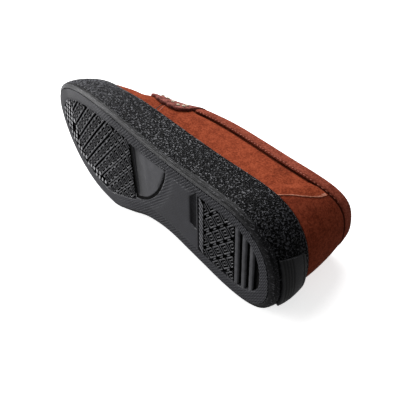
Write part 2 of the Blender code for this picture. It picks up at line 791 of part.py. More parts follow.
def saddle_strap(suede):
    """The strap over the instep, between two copies of the vamp's own face."""
    across = [(1, way) for way in STRAP_WAYS] + [(-1, way) for way in reversed(STRAP_WAYS[:-1])]
    near, far = [], []
    for side, way in across:
        back, front = strap_edges(way)
        inner, outer = [], []
        for i in range(STRAP_STEPS + 1):
            x = back + (front - back) * i / STRAP_STEPS
            end = share_at(spoke("side", x, side), STRAP_END_BACK_Z - STRAP_END_FALL * (x - THROAT_X))
            share = end + (1 - end) * way
            inner.append(sprung(vamp_point(x, side, share, STRAP_LIFT)))
            outer.append(sprung(vamp_point(x, side, share, STRAP_LIFT + STRAP_THICKNESS)))
        near.append(inner)
        far.append(outer)
    return slab("saddle_strap", near, far, suede)


def shoe_points(objects):
    """All points of the finished pieces and their common centre of mass."""
    graph = bpy.context.evaluated_depsgraph_get()
    points = []
    moment = Vector()
    total = 0.0
    for obj in objects:
        mesh = obj.evaluated_get(graph).to_mesh()
        mesh.calc_loop_triangles()
        density = DENSITIES[obj.data.materials[0].name]
        for triangle in mesh.loop_triangles:
            a, b, c = (mesh.vertices[i].co for i in triangle.vertices)
            part = a.dot(b.cross(c)) / 6 * density
            moment += (a + b + c) / 4 * part
            total += part
        points += [v.co.copy() for v in mesh.vertices]
    return points, moment / total


def resting_normal(points, centre):
    """Upward normal of the floor under the inner side, from the hull's face below the centre."""
    bm = bmesh.new()
    for p in points:
        bm.verts.new(p)
    hull = bmesh.ops.convex_hull(bm, input=bm.verts[:])
    best = None
    for face in hull["geom"]:
        if not isinstance(face, bmesh.types.BMFace):
            continue
        normal = face.normal
        if normal.dot(face.calc_center_median() - centre) < 0:
            normal = -normal
        corners = [v.co for v in face.verts]
        foot = centre + normal * normal.dot(corners[0] - centre)
        turns = []
        for i, corner in enumerate(corners):
            after = corners[(i + 1) % len(corners)]
            turns.append((after - corner).cross(foot - corner).dot(normal))
        inside = min(turns) >= 0 or max(turns) <= 0
        if inside and (best is None or normal.y < best.y):
            best = normal.copy()
    bm.free()
    return -best


def lay_down(objects):
    """Hangs the pieces on an empty that lays the shoe on its inner side over the origin."""
    bpy.context.view_layer.update()
    points, centre = shoe_points(objects)
    up = resting_normal(points, centre)
    right = -(Vector((1, 0, 0)) - up * up.x).normalized()
    turn = Matrix((right, up.cross(right), up))
    turned = [turn @ p for p in points]
    low = [min(p[i] for p in turned) for i in range(3)]
    high = [max(p[i] for p in turned) for i in range(3)]
    frame = bpy.data.objects.new("loafer", None)
    bpy.context.collection.objects.link(frame)
    frame.rotation_mode = "QUATERNION"
    frame.rotation_quaternion = turn.to_quaternion()
    frame.location = (-(low[0] + high[0]) / 2, -(low[1] + high[1]) / 2, -low[2])
    for obj in objects:
        obj.parent = frame
    bpy.context.view_layer.update()


def build():
    for obj in list(bpy.data.objects):
        bpy.data.objects.remove(obj)
    rubber = material("rubber", (0.02, 0.02, 0.022), 0.6)
    suede = material("suede", (0.30, 0.09, 0.03), 0.9)
    fabric = material("fabric", (0.25, 0.2, 0.16), 0.9)
    lay_down([outsole(rubber), foxing(rubber), heel_label(rubber), insole(fabric), upper(suede),
              collar_binding(suede), heel_counter(suede), saddle_strap(suede)])


build()
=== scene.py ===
# %% [markdown]
# A suede loafer lies on its inner side and shows its sole. The solids of the shoe come from
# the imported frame. This lesson dresses them: each solid is copied, refined and given a
# finish, so every piece keeps the place and the size that it has on the shoe.

# %% The frame
import json
import math
import bmesh
import bpy
from mathutils import Matrix, Vector, kdtree, noise
from mathutils.bvhtree import BVHTree


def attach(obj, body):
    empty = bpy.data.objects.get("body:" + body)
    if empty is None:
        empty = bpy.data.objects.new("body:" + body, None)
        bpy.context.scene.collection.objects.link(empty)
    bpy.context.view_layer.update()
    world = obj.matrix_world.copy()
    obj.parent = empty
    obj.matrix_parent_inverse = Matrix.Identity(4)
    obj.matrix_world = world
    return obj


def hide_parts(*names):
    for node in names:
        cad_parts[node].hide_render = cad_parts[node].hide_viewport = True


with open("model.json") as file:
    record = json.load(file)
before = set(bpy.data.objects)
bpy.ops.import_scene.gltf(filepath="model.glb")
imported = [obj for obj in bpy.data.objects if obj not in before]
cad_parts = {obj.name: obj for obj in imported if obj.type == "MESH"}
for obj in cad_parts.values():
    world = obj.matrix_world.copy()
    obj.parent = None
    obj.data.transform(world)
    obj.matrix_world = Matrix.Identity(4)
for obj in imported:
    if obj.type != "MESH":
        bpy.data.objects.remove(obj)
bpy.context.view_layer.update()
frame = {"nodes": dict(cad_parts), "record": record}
print("solids:", ", ".join(sorted(frame["nodes"])))

# %% [markdown]
# A shoe is easiest to think of standing: x runs from heel to toe, y to the outer side and z
# up from the ground, in millimetres. The record names one mount, the flat of the sole. Its
# axis and its place give the two matrices that lead from the lying shoe to the standing one
# and back, so nothing below has to know how the shoe lies.

# %% From the lying shoe to the standing one
MOUNT_X = 0.095
mount = frame["record"]["mounts"][0]
upward = -Vector(mount["axis"]).normalized()
ahead = Vector((0, 1, 0)).cross(upward).normalized()
outward = upward.cross(ahead)
heel_point = Vector(mount["pos_m"]) - ahead * MOUNT_X
TURN = Matrix((ahead, outward, upward)).transposed()
TO_ROW = Matrix.Translation(heel_point) @ TURN.to_4x4() @ Matrix.Scale(0.001, 4)
TO_SHOE = TO_ROW.inverted()
print("toe points along", [round(v, 3) for v in ahead])

# %% [markdown]
# The camera stands low behind the heel on the outer side and looks along the sole to the
# toe. A square picture and a lens of 57 mm give the same narrowing towards the toe as the
# photograph. The camera's place and its two directions are written in the standing shoe.

# %% Camera
def placed(name, data):
    made = bpy.data.objects.new(name, data)
    bpy.context.collection.objects.link(made)
    return made


CAMERA_PLACE = Vector((-212.5, 289.0, -177.7))
CAMERA_RIGHT = Vector((-0.598535, -0.089935, 0.796032))
CAMERA_UP = Vector((0.459699, 0.775234, 0.433232))
camera_data = bpy.data.cameras.new("camera")
camera_data.lens = 57.25
camera_data.sensor_width = 36.0
camera_data.clip_start = 0.01
camera = placed("camera", camera_data)
camera_turn = TURN @ Matrix((CAMERA_RIGHT, CAMERA_UP, CAMERA_RIGHT.cross(CAMERA_UP))).transposed()
camera.matrix_world = Matrix.Translation(TO_ROW @ CAMERA_PLACE) @ camera_turn.to_4x4()
bpy.context.scene.camera = camera
print("camera at", [round(v, 3) for v in camera.location])

# %% [markdown]
# A few helpers do the handling. They copy a solid into a bmesh of the standing shoe, round
# edges with the bevel operator and refine a bmesh with the Subdivision Surface modifier. That
# modifier draws a mesh in, so the points of the cage are first pushed out until the smooth
# surface passes through the solid's own points. The last ones make a bmesh a piece that rides
# on the shoe, and ease a value from 0 to 1.

# %% Copying and refining
def node_copy(name, as_quads=True):
    bm = bmesh.new()
    bm.from_mesh(frame["nodes"][name].data)
    bmesh.ops.remove_doubles(bm, verts=bm.verts, dist=0.00001)
    bmesh.ops.transform(bm, matrix=TO_SHOE, verts=bm.verts)
    if as_quads:
        bmesh.ops.join_triangles(bm, faces=bm.faces, angle_face_threshold=math.radians(50),
                                 angle_shape_threshold=math.radians(140))
    bm.normal_update()
    return bm


def round_edges(bm, edges, offset, segments):
    return bmesh.ops.bevel(bm, geom=edges, offset=offset, offset_type="OFFSET", segments=segments,
                           profile=0.5, affect="EDGES", material=-1)["faces"]


def refined(bm, levels, crisp=0.0):
    if crisp:
        corners = [e for e in bm.edges if e.calc_face_angle(0.0) > math.radians(50)]
        round_edges(bm, corners, crisp, 2)
    mesh = bpy.data.meshes.new("refining")
    bm.to_mesh(mesh)
    bm.free()
    holder = placed("refining", mesh)
    step = holder.modifiers.new("smooth", "SUBSURF")
    step.levels = levels
    wanted = [v.co.copy() for v in mesh.vertices]
    for _ in range(0 if crisp else 3):
        bpy.context.view_layer.update()
        smooth = holder.evaluated_get(bpy.context.evaluated_depsgraph_get()).to_mesh()
        for v, goal in zip(mesh.vertices, wanted):
            v.co += (goal - smooth.vertices[v.index].co) * 0.8
        mesh.update()
        holder.update_tag()
    bpy.context.view_layer.update()
    fine = bmesh.new()
    fine.from_mesh(holder.evaluated_get(bpy.context.evaluated_depsgraph_get()).to_mesh())
    bpy.data.objects.remove(holder)
    bpy.data.meshes.remove(mesh)
    fine.normal_update()
    return fine


print("helpers for copying ready")

# %% Making a piece
def piece(bm, name, finishes, stands_for=None, soft=40.0):
    bmesh.ops.transform(bm, matrix=TO_ROW, verts=bm.verts)
    bm.normal_update()
    mesh = bpy.data.meshes.new(name)
    bm.to_mesh(mesh)
    bm.free()
    for finish in finishes:
        mesh.materials.append(finish)
    mesh.shade_smooth()
    mesh.set_sharp_from_angle(angle=math.radians(soft))
    made = placed(name, mesh)
    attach(made, "root")
    if stands_for:
        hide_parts(stands_for)
    mesh.calc_loop_triangles()
    print(f"{name}: {len(mesh.loop_triangles)} triangles")
    return made


def new_layer(bm, name):
    """A value on every point, which a finish reads as an attribute."""
    return bm.verts.layers.float.new(name)


def smooth_step(low, high, value):
    share = min(max((value - low) / (high - low), 0.0), 1.0)
    return share * share * (3 - 2 * share)


def fade_out(low, high, value):
    return 1 - smooth_step(low, high, value)


print("helpers for pieces ready")

# %% [markdown]
# The bottom of the shoe is flat up to the ball of the foot and rises towards the toe. The
# tread is easier to make flat, so one function gives the rise, to take off and to put back.

# %% Rise of the toe
SOLE_LENGTH = 300.0
SPRING = 8.5
SPRING_FROM = 205.0


def rise(x):
    past = max(x - SPRING_FROM, 0.0) / (SOLE_LENGTH - SPRING_FROM)
    return SPRING * past * past


def lift_toe(bm, way):
    for v in bm.verts:
        v.co.z += way * rise(v.co.x)


print("the toe tip is lifted by", rise(SOLE_LENGTH), "mm")

# %% [markdown]
# Materials are node trees. A small helper makes the node tree and a few more add the parts
# that come back often: noise in the object's own coordinates, a colour ramp and a bump.

# %% Node helpers
def finish(name, roughness, specular=0.5):
    made = bpy.data.materials.new(name)
    made.use_nodes = True
    shader = made.node_tree.nodes["Principled BSDF"]
    shader.inputs["Roughness"].default_value = roughness
    shader.inputs["Specular IOR Level"].default_value = specular
    return made, made.node_tree, shader


def node(tree, kind, **values):
    made = tree.nodes.new(kind)
    for key, value in values.items():
        if key in made.inputs.keys():
            made.inputs[key].default_value = value
        else:
            setattr(made, key, value)
    return made


def grain(tree, scale, detail=3.0, roughness=0.55, stretch=None):
    place = node(tree, "ShaderNodeTexCoord").outputs["Object"]
    if stretch:
        mapping = node(tree, "ShaderNodeMapping", Scale=stretch)
        tree.links.new(place, mapping.inputs["Vector"])
        place = mapping.outputs["Vector"]
    noise_node = node(tree, "ShaderNodeTexNoise", Scale=scale, Detail=detail, Roughness=roughness)
    tree.links.new(place, noise_node.inputs["Vector"])
    return noise_node.outputs["Fac"]


def ramp(tree, factor, stops):
    made = node(tree, "ShaderNodeValToRGB")
    elements = made.color_ramp.elements
    while len(elements) < len(stops):
        elements.new(0.5)
    for element, (position, colour) in zip(elements, stops):
        element.position = position
        element.color = (*colour, 1.0)
    tree.links.new(factor, made.inputs["Fac"])
    return made.outputs["Color"]


print("texture helpers ready")

# %% Mixing helpers
def feed(tree, socket, value):
    if isinstance(value, bpy.types.NodeSocket):
        tree.links.new(value, socket)
    elif isinstance(value, tuple):
        socket.default_value = (*value, 1.0)
    else:
        socket.default_value = value


def mixed(tree, factor, first, second):
    made = node(tree, "ShaderNodeMix", data_type="RGBA")
    for index, value in ((0, factor), (6, first), (7, second)):
        feed(tree, made.inputs[index], value)
    return made.outputs[2]


def paint(tree, shader, colour):
    tree.links.new(colour, shader.inputs["Base Color"])


def math_node(tree, operation, first, second):
    made = node(tree, "ShaderNodeMath", operation=operation)
    for index, value in enumerate((first, second)):
        feed(tree, made.inputs[index], value)
    return made.outputs[0]


def blended(tree, first, second, share):
    return math_node(tree, "ADD", math_node(tree, "MULTIPLY", first, 1 - share),
                     math_node(tree, "MULTIPLY", second, share))


def spread_between(tree, value, low, high, to_low=0.0, to_high=1.0):
    limits = {"From Min": low, "From Max": high, "To Min": to_low, "To Max": to_high}
    made = node(tree, "ShaderNodeMapRange", interpolation_type="SMOOTHSTEP", **limits)
    tree.links.new(value, made.inputs["Value"])
    return made.outputs["Result"]


def bump(tree, shader, height, strength, distance):
    made = node(tree, "ShaderNodeBump", Strength=strength, Distance=distance)
    tree.links.new(height, made.inputs["Height"])
    tree.links.new(made.outputs["Normal"], shader.inputs["Normal"])


def attribute(tree, name):
    return node(tree, "ShaderNodeAttribute", attribute_name=name).outputs["Fac"]


print("mixing helpers ready")

# %% [markdown]
# Suede is the rough side of leather. Its nap scatters light, so it has no gloss, a soft
# sheen towards its edges, and patches where the nap lies another way. A tone attribute on
# each piece darkens or lightens it in given places: soft spots of tone, painted shade and painted light.

# %% Suede finishes
def suede(name, deep, mid, pale, nap=0.4):
    made, tree, shader = finish(name, 0.95, 0.04)
    patches = grain(tree, 170.0, 3.0)
    tufts = grain(tree, 780.0, 3.0, 0.65)
    fibres = grain(tree, 2100.0, 3.0, 0.7)
    fine = blended(tree, tufts, fibres, 0.35)
    both = blended(tree, patches, fine, 0.76)
    colour = ramp(tree, both, ((0.42, deep), (0.5, mid), (0.58, pale)))
    tone = attribute(tree, "tone")
    # Negative tone darkens towards a deep colour, positive tone lightens towards the pale one: this carries
    # spots of tone, and painted shade and light.
    darker = mixed(tree, math_node(tree, "MAXIMUM", math_node(tree, "MULTIPLY", tone, -1.0), 0.0),
                   colour, tuple(c * 0.3 for c in deep))
    lighter = mixed(tree, math_node(tree, "MAXIMUM", tone, 0.0), darker, pale)
    paint(tree, shader, lighter)
    shader.inputs["Sheen Weight"].default_value = 0.08
    shader.inputs["Sheen Roughness"].default_value = 0.4
    shader.inputs["Sheen Tint"].default_value = (1.0, 0.5, 0.35, 1.0)
    bump(tree, shader, fine, nap, 0.0011)
    return made


quarter_suede = suede("quarter suede", (0.160, 0.027, 0.0105), (0.270, 0.049, 0.0195), (0.38, 0.080, 0.034))
# The heel suede is darker than the quarter's, partly its own tone and partly painted shade of the heel, which
# faces away from the light.
heel_suede = suede("heel suede", (0.130, 0.021, 0.009), (0.215, 0.037, 0.016), (0.30, 0.060, 0.028))
binding_suede = suede("binding suede", (0.150, 0.031, 0.017), (0.250, 0.054, 0.031), (0.36, 0.092, 0.057))
strap_suede = suede("strap suede", (0.120, 0.036, 0.030), (0.260, 0.082, 0.068), (0.44, 0.160, 0.135))
raw_edge = suede("raw suede edge", (0.40, 0.14, 0.085), (0.52, 0.20, 0.13), (0.63, 0.28, 0.20), 0.2)
print("suede in five tones")

# %% [markdown]
# The side band of the sole has two finishes of its own. Its face is crepe, lumps of rubber with
# black creases, so colour, gloss and bump all follow one noise. Its foot is smooth, with thin
# streaks along it: a Mapping node draws the noise out.

# %% Crepe and lip
def crepe():
    """Lumps of rubber with black creases, closer towards the toe, with painted highlight towards the toe and
    on a rim, and painted shade in the creases.
    """
    made, tree, shader = finish("crepe rubber", 0.34)
    lump = grain(tree, 760.0, 2.0, 0.6)
    specks = ramp(tree, lump, ((0.46, (0.0010, 0.0010, 0.0013)), (0.53, (0.006, 0.006, 0.008)),
                               (0.63, (0.055, 0.056, 0.066))))
    worms = ramp(tree, lump, ((0.46, (0.001, 0.001, 0.0014)), (0.51, (0.007, 0.007, 0.009)),
                              (0.58, (0.060, 0.061, 0.073))))
    # Towards the toe the lumps turn pale grey: a painted highlight of the light from the toe.
    toe_highlight_stops = ((0.44, (0.002, 0.002, 0.003)), (0.5, (0.034, 0.034, 0.038)), (0.57, (0.30, 0.30, 0.33)))
    toe_highlight_worms = ramp(tree, grain(tree, 520.0, 2.0, 0.6), toe_highlight_stops)
    colour = mixed(tree, attribute(tree, "fore"), specks, worms)
    colour = mixed(tree, attribute(tree, "toe"), colour, toe_highlight_worms)
    # The crease attribute paints shade into the creases and the dark lines.
    colour = mixed(tree, attribute(tree, "crease"), colour, (0.0015, 0.0015, 0.0015))
    # The rim attribute paints a pale grey highlight.
    colour = mixed(tree, attribute(tree, "rim"), colour, (0.25, 0.25, 0.26))
    paint(tree, shader, colour)
    tree.links.new(spread_between(tree, lump, 0.46, 0.60, 0.035, 0.23), shader.inputs["Specular IOR Level"])
    bump(tree, shader, spread_between(tree, lump, 0.40, 0.62), 1.0, 0.0015)
    return made


def streaked_lip():
    """Smooth dark rubber with thin pale streaks that run along the shoe."""
    made, tree, shader = finish("lip rubber", 0.45, 0.10)
    streak = grain(tree, 1400.0, 2.0, 0.6, (0.12, 1.0, 1.0))
    colour = ramp(tree, streak, ((0.46, (0.004, 0.004, 0.005)), (0.56, (0.010, 0.010, 0.012)),
                                 (0.67, (0.13, 0.13, 0.14))))
    # The crease attribute paints shade into the dark lines.
    colour = mixed(tree, attribute(tree, "crease"), colour, (0.003, 0.003, 0.003))
    # The rim attribute paints a pale highlight.
    colour = mixed(tree, attribute(tree, "rim"), colour, (0.20, 0.20, 0.21))
    paint(tree, shader, colour)
    bump(tree, shader, streak, 0.3, 0.0004)
    return made


crepe_rubber = crepe()
lip_rubber = streaked_lip()
print("crepe and lip ready")

# %% [markdown]
# The rubber of the sole is black with a grey bloom in soft clouds. Grooves and pocket floors
# are painted near black as shade, and studs, knobs, the rope and outer rims pale as highlight.

# %% Rubber finishes
def rubber(name, deep, worn, roughness, grain_scale=900.0, relief=0.15, crease=None, gloss=0.3):
    made, tree, shader = finish(name, roughness, gloss)
    cloud = grain(tree, 160.0, 4.0)
    speck = grain(tree, grain_scale, 3.0)
    both = blended(tree, cloud, speck, 0.45)
    colour = ramp(tree, both, ((0.36, deep), (0.64, worn)))
    # The attribute named by crease darkens the colour: painted shade in the pad's dip and the label's
    # grooves.
    if crease:
        colour = mixed(tree, attribute(tree, crease), colour, tuple(c * 0.15 for c in deep))
    paint(tree, shader, colour)
    tree.links.new(spread_between(tree, both, 0.35, 0.65, roughness - 0.08, roughness + 0.1),
                   shader.inputs["Roughness"])
    bump(tree, shader, speck, relief, 0.0006)
    return made


tread_rubber = rubber("tread rubber", (0.046, 0.046, 0.051), (0.098, 0.098, 0.107), 0.40)
# Studs, knobs, the rope and the outer rims of the pockets are painted pale: painted highlight.
stud_highlight_rubber = rubber("stud highlight rubber", (0.40, 0.40, 0.42), (0.62, 0.62, 0.64), 0.35)
pale_highlight_rubber = rubber("pale highlight rubber", (0.120, 0.120, 0.130), (0.220, 0.220, 0.235), 0.40)
patch_rubber = rubber("patch rubber", (0.003, 0.003, 0.004), (0.018, 0.018, 0.021), 0.75, 1300.0, 0.6,
                      gloss=0.08)
# The dip attribute darkens the front of the pad: painted shade.
pad_rubber = rubber("pad rubber", (0.072, 0.072, 0.079), (0.092, 0.092, 0.100), 0.40, crease="dip")
# Near black for what lies deep: painted shade.
groove_shade_rubber = rubber("groove shade rubber", (0.002, 0.002, 0.002), (0.004, 0.004, 0.004), 0.85, gloss=0.05)
# The label's crease attribute darkens the grooves between its ribs: painted shade.
label_rubber = rubber("label rubber", (0.008, 0.008, 0.009), (0.024, 0.024, 0.027), 0.42, 900.0, 0.3,
                      "crease", 0.25)
print("rubber in seven tones")

# %% [markdown]
# The bottom plate carries a pattern that is too fine to model: from the waist to the heel
# its border and parts of the shank have a fine cross hatch, and towards the toe they are
# smooth. A UV map holds the plan, 100 mm to a unit, and an attribute the share of the hatch.

# %% Plate finish
HATCH_WAVES = 15.5


def plate_finish():
    made, tree, shader = finish("plate rubber", 0.40)
    cloud = grain(tree, 130.0, 4.0)
    speck = grain(tree, 1100.0, 3.0)
    plain_stops = ((0.36, (0.023, 0.023, 0.027)), (0.64, (0.034, 0.034, 0.041)))
    plain = ramp(tree, blended(tree, cloud, speck, 0.4), plain_stops)
    plan = node(tree, "ShaderNodeUVMap", uv_map="plan")
    lines = []
    for turn in (38.0, -52.0):
        mapping = node(tree, "ShaderNodeMapping", Rotation=(0, 0, math.radians(turn)))
        tree.links.new(plan.outputs["UV"], mapping.inputs["Vector"])
        wave = node(tree, "ShaderNodeTexWave", Scale=HATCH_WAVES, Distortion=0.4, Detail=1.0)
        tree.links.new(mapping.outputs["Vector"], wave.inputs["Vector"])
        lines.append(wave.outputs["Fac"])
    share = attribute(tree, "hatch")
    hatch = math_node(tree, "MULTIPLY", blended(tree, lines[0], lines[1], 0.3), share)
    colour = mixed(tree, share, plain, (0.085, 0.085, 0.097))
    colour = mixed(tree, math_node(tree, "MULTIPLY", hatch, 0.97), colour, (0.003, 0.003, 0.003))
    paint(tree, shader, colour)
    height = math_node(tree, "ADD", math_node(tree, "MULTIPLY", hatch, -1.0),
                       math_node(tree, "MULTIPLY", speck, 0.12))
    tree.links.new(spread_between(tree, hatch, 0.1, 0.8, 0.35, 0.03), shader.inputs["Specular IOR Level"])
    bump(tree, shader, height, 0.8, 0.0009)
    return made


plate_rubber = plate_finish()
print("plate finish ready")

# %% [markdown]
# The plate is a copy of the outsole's solid, laid flat. Its plain lugs and pocket floors are
# taken off and each pocket gets a new floor. The finer lugs are set on those floors below.

# %% Plate of the outsole
LUG_FACE = 0.3
LUG_LOW = 0.15
LUG_HIGH = 2.9
PLAIN, PAD, GROOVE_SHADE, PATCH, RIM_HIGHLIGHT = range(5)
plate = node_copy("outsole", as_quads=False)
lift_toe(plate, -1)
lugs = [f for f in plate.faces if all(LUG_LOW < v.co.z < LUG_HIGH for v in f.verts)]
bmesh.ops.delete(plate, geom=lugs, context="FACES")
rim_edges = [e for e in plate.edges if e.is_boundary]
bmesh.ops.holes_fill(plate, edges=rim_edges, sides=0)
bmesh.ops.dissolve_limit(plate, angle_limit=math.radians(1), verts=plate.verts, edges=plate.edges)
bmesh.ops.recalc_face_normals(plate, faces=plate.faces)
POCKETS = {}
for floor in [f for f in plate.faces if 0.5 < f.calc_center_median().z < 2.8 and f.normal.z < -0.9]:
    centre_x = floor.calc_center_median().x
    kind = "heel" if centre_x < 90 else "pad" if centre_x < 155 else "forefoot"
    POCKETS[kind] = [v.co.copy() for v in floor.verts]
    print(kind, "pocket:", len(floor.verts), "corners,", round(floor.calc_area() / 100, 1), "cm2")
top_face = max((f for f in plate.faces if f.normal.z > 0.9), key=lambda f: f.calc_area())
OUTLINE = [v.co.copy() for v in top_face.verts]

# %% [markdown]
# Places on the sole are told apart by plan tests: a point in a pocket's outline, and the
# distance of a point from an outline.

# %% Plan tests
def inside(point, outline):
    odd = False
    for a, b in zip(outline, outline[1:] + outline[:1]):
        if (a.y > point.y) != (b.y > point.y):
            if point.x < a.x + (b.x - a.x) * (point.y - a.y) / (b.y - a.y):
                odd = not odd
    return odd


def distance_to(point, outline):
    best = 1e9
    for a, b in zip(outline, outline[1:] + outline[:1]):
        run = (b - a).to_2d()
        share = min(max((point.to_2d() - a.to_2d()).dot(run) / max(run.length_squared, 1e-9), 0.0), 1.0)
        best = min(best, (point.to_2d() - a.to_2d() - run * share).length)
    return best


def near(point, outline, reach):
    return inside(point, outline) or distance_to(point, outline) < reach


print("outline of the plate:", len(OUTLINE), "corners")

# %% [markdown]
# A shallow rough patch lies before the heel. Four planes cut its outline into the ground face
# of the plate, and the faces between them are inset and sunk.

# %% Patch before the heel
PATCH_CORNERS = ((72.4, 31.0), (77.9, -4.4), (85.3, -2.4), (81.5, 23.0))


def on_ground(face):
    return face.normal.z < -0.9 and abs(face.calc_center_median().z) < 0.01


corners = [Vector((x, y, 0)) for x, y in PATCH_CORNERS]
for a, b in zip(corners, corners[1:] + corners[:1]):
    flat = [f for f in plate.faces if on_ground(f)]
    cut = flat + list({e for f in flat for e in f.edges}) + list({v for f in flat for v in f.verts})
    across = (b - a).cross(Vector((0, 0, 1))).normalized()
    bmesh.ops.bisect_plane(plate, geom=cut, dist=0.001, plane_co=a, plane_no=across)
patch = [f for f in plate.faces if on_ground(f) and inside(f.calc_center_median(), corners)]
bmesh.ops.inset_region(plate, faces=patch, thickness=0.3, depth=-0.55)
for f in patch:
    f.material_index = PATCH
print("patch of", len(patch), "faces")

# %% [markdown]
# Rounded rims give the pockets the thin bright line of moulded rubber, and on the outer side
# they are painted pale as highlight. The pad stands up from its pocket, with a groove round its
# rear arc painted near black as shade. Last the heel pocket's front edge moves forward, and the
# plate's rim out to the side band.

# %% Pocket rims and pad
HEEL_FRONT_X = 74.6
HEEL_FRONT_SLANT = 0.149
HEEL_FRONT_MOVE = 0.9
RIM_MOVE = 0.26
rims = [e for e in plate.edges if len(e.link_faces) == 2 and all(abs(v.co.z) < 0.01 for v in e.verts)
        and e.calc_face_angle(0.0) > 1.0 and distance_to(e.verts[0].co, OUTLINE) > 0.1]
for f in round_edges(plate, rims, 0.5, 2):
    # On the outer side the rounded rims are painted pale: painted highlight.
    if f.calc_center_median().y > 8 and f.calc_center_median().x > 100:
        f.material_index = RIM_HIGHLIGHT
pad = max((f for f in plate.faces if f.normal.z < -0.9 and 0.8 < f.calc_center_median().z < 1.0),
          key=lambda f: f.calc_area())
groove = bmesh.ops.inset_region(plate, faces=[pad], thickness=2.0, use_even_offset=True)["faces"]
bmesh.ops.inset_region(plate, faces=[pad], thickness=0.5, depth=0.75, use_even_offset=True)
pad.material_index = PAD
# The groove round the pad and the pocket floors get the near-black rubber: painted shade.
for f in groove + [f for f in plate.faces if f.normal.z < -0.9 and f.calc_center_median().z > 1.5]:
    f.material_index = GROOVE_SHADE
for f in [f for f in groove if f.calc_center_median().y > 28.0]:
    f.material_index = PLAIN
    for v in f.verts:
        v.co.z = 0.12
plate.normal_update()
for v in plate.verts:
    from_front = abs(v.co.x + HEEL_FRONT_SLANT * v.co.y - HEEL_FRONT_X)
    if v.co.z < LUG_HIGH and from_front < 1.1 and abs(v.co.y) < 32:
        v.co.x += HEEL_FRONT_MOVE
    sideways = Vector((v.normal.x, v.normal.y, 0))
    if distance_to(v.co, OUTLINE) < 0.05 and sideways.length > 0.2:
        v.co += sideways.normalized() * RIM_MOVE
print("pad raised:", len(plate.faces), "faces")

# %% [markdown]
# An attribute sits on points, so the plate needs them close together where its look changes:
# long edges are halved until none is left. Then the front of the pad falls off into a soft
# dip before the tread, darkened there with painted shade, and the hatch is laid on the border
# and beside the pad.

# %% Small faces on the plate
PLATE_GRAIN = 3.5
for _ in range(7):
    long_edges = [e for e in plate.edges if e.calc_length() > PLATE_GRAIN
                  and all(v.co.z < 0.3 for v in e.verts)]
    if not long_edges:
        break
    bmesh.ops.subdivide_edges(plate, edges=long_edges, cuts=1)
    bmesh.ops.triangulate(plate, faces=[f for f in plate.faces if len(f.verts) > 4])
print("plate cut into", len(plate.faces), "faces")

# %% Dip and hatch
PAD_FRONT_X = 158.4
PAD_FRONT_SLANT = 0.11
DIP_LENGTH = 21.0
DIP_DEPTH = 1.7
DIP_INNER = (-22.5, -19.0)
DIP_OUTER = (27.0, 29.3)
plan_layer = plate.loops.layers.uv.new("plan")
hatch_layer = new_layer(plate, "hatch")
dip_shade_layer = new_layer(plate, "dip")
for v in plate.verts:
    behind_front = PAD_FRONT_X - PAD_FRONT_SLANT * v.co.y - v.co.x
    in_dip = -2.9 < behind_front < DIP_LENGTH and DIP_INNER[0] < v.co.y < DIP_OUTER[1]
    if in_dip and v.co.z < 1.2:
        side_fade = smooth_step(*DIP_INNER, v.co.y) * fade_out(*DIP_OUTER, v.co.y)
        dip = DIP_DEPTH * fade_out(0.5, DIP_LENGTH, behind_front) * side_fade
        v.co.z = max(v.co.z, 0.15) + dip
        # Painted shade in the dip.
        v[dip_shade_layer] = 0.85 * fade_out(-1.0, DIP_LENGTH, behind_front)
    on_border = fade_out(8.5, 9.5, distance_to(v.co, OUTLINE))
    behind_ball = fade_out(165.0, 210.0, v.co.x)
    by_pad = fade_out(3.0, 12.0, distance_to(v.co, POCKETS["pad"])) * (v.co.x < 150)
    border_share = on_border * (0.25 + 0.75 * behind_ball) * (v.co.x < 260)
    v[hatch_layer] = max(border_share, by_pad * 0.9, 0.12 * behind_ball)
for f in plate.faces:
    for loop in f.loops:
        loop[plan_layer].uv = (loop.vert.co.x * 0.01, loop.vert.co.y * 0.01)
lift_toe(plate, 1)
plate_finishes = [plate_rubber, pad_rubber, groove_shade_rubber, patch_rubber, pale_highlight_rubber]
piece(plate, "outsole_plate", plate_finishes, "outsole", soft=25.0)

# %% [markdown]
# The tread blocks are rectangles within rectangles: a ring, a groove and a core. Each
# starts as a cube set into the pocket floor, and its face is inset again and again, with a
# depth where the groove goes down and where the core comes up. Blocks that run over a
# pocket's edge end inside the border, as if cut off by it.

# %% Tools for the tread
ROW_TURN = math.radians(-42)
ALONG_ROW = Vector((math.cos(ROW_TURN), math.sin(ROW_TURN), 0))
ACROSS_ROW = Vector((-math.sin(ROW_TURN), math.cos(ROW_TURN), 0))
BLOCK_LENGTH = 9.7
BLOCK_PITCH_LONG = 11.5
LUG_ROOT = 3.0


def lug(bm, centre, length, width, turn, top=LUG_FACE):
    """One plain lug, and its face to the ground."""
    depth = LUG_ROOT - top
    place = Matrix.Translation((centre.x, centre.y, top + depth / 2)) @ Matrix.Rotation(turn, 4, "Z")
    made = bmesh.ops.create_cube(bm, size=1.0, matrix=place @ Matrix.Diagonal((length, width, depth, 1)))
    sides = {f for v in made["verts"] for f in v.link_faces}
    return min(sides, key=lambda f: f.calc_center_median().z)


def nest(bm, faces, ring, groove, depth):
    """Ring, groove, core and a pit in the core on the faces of lugs."""
    steps = ((ring, 0.0), (0.2, -depth), (groove, 0.0), (0.2, depth * 0.9), (0.55, 0.0), (0.15, -0.7))
    for thickness, down in steps:
        bmesh.ops.inset_individual(bm, faces=faces, thickness=thickness, depth=down, use_even_offset=True)


def trim(bm, place, away):
    """Cuts off what lies beyond a plane and closes the cut."""
    bmesh.ops.bisect_plane(bm, geom=bm.verts[:] + bm.edges[:] + bm.faces[:], dist=0.001, plane_co=place,
                           plane_no=away, clear_outer=True)
    bmesh.ops.holes_fill(bm, edges=[e for e in bm.edges if e.is_boundary], sides=0)


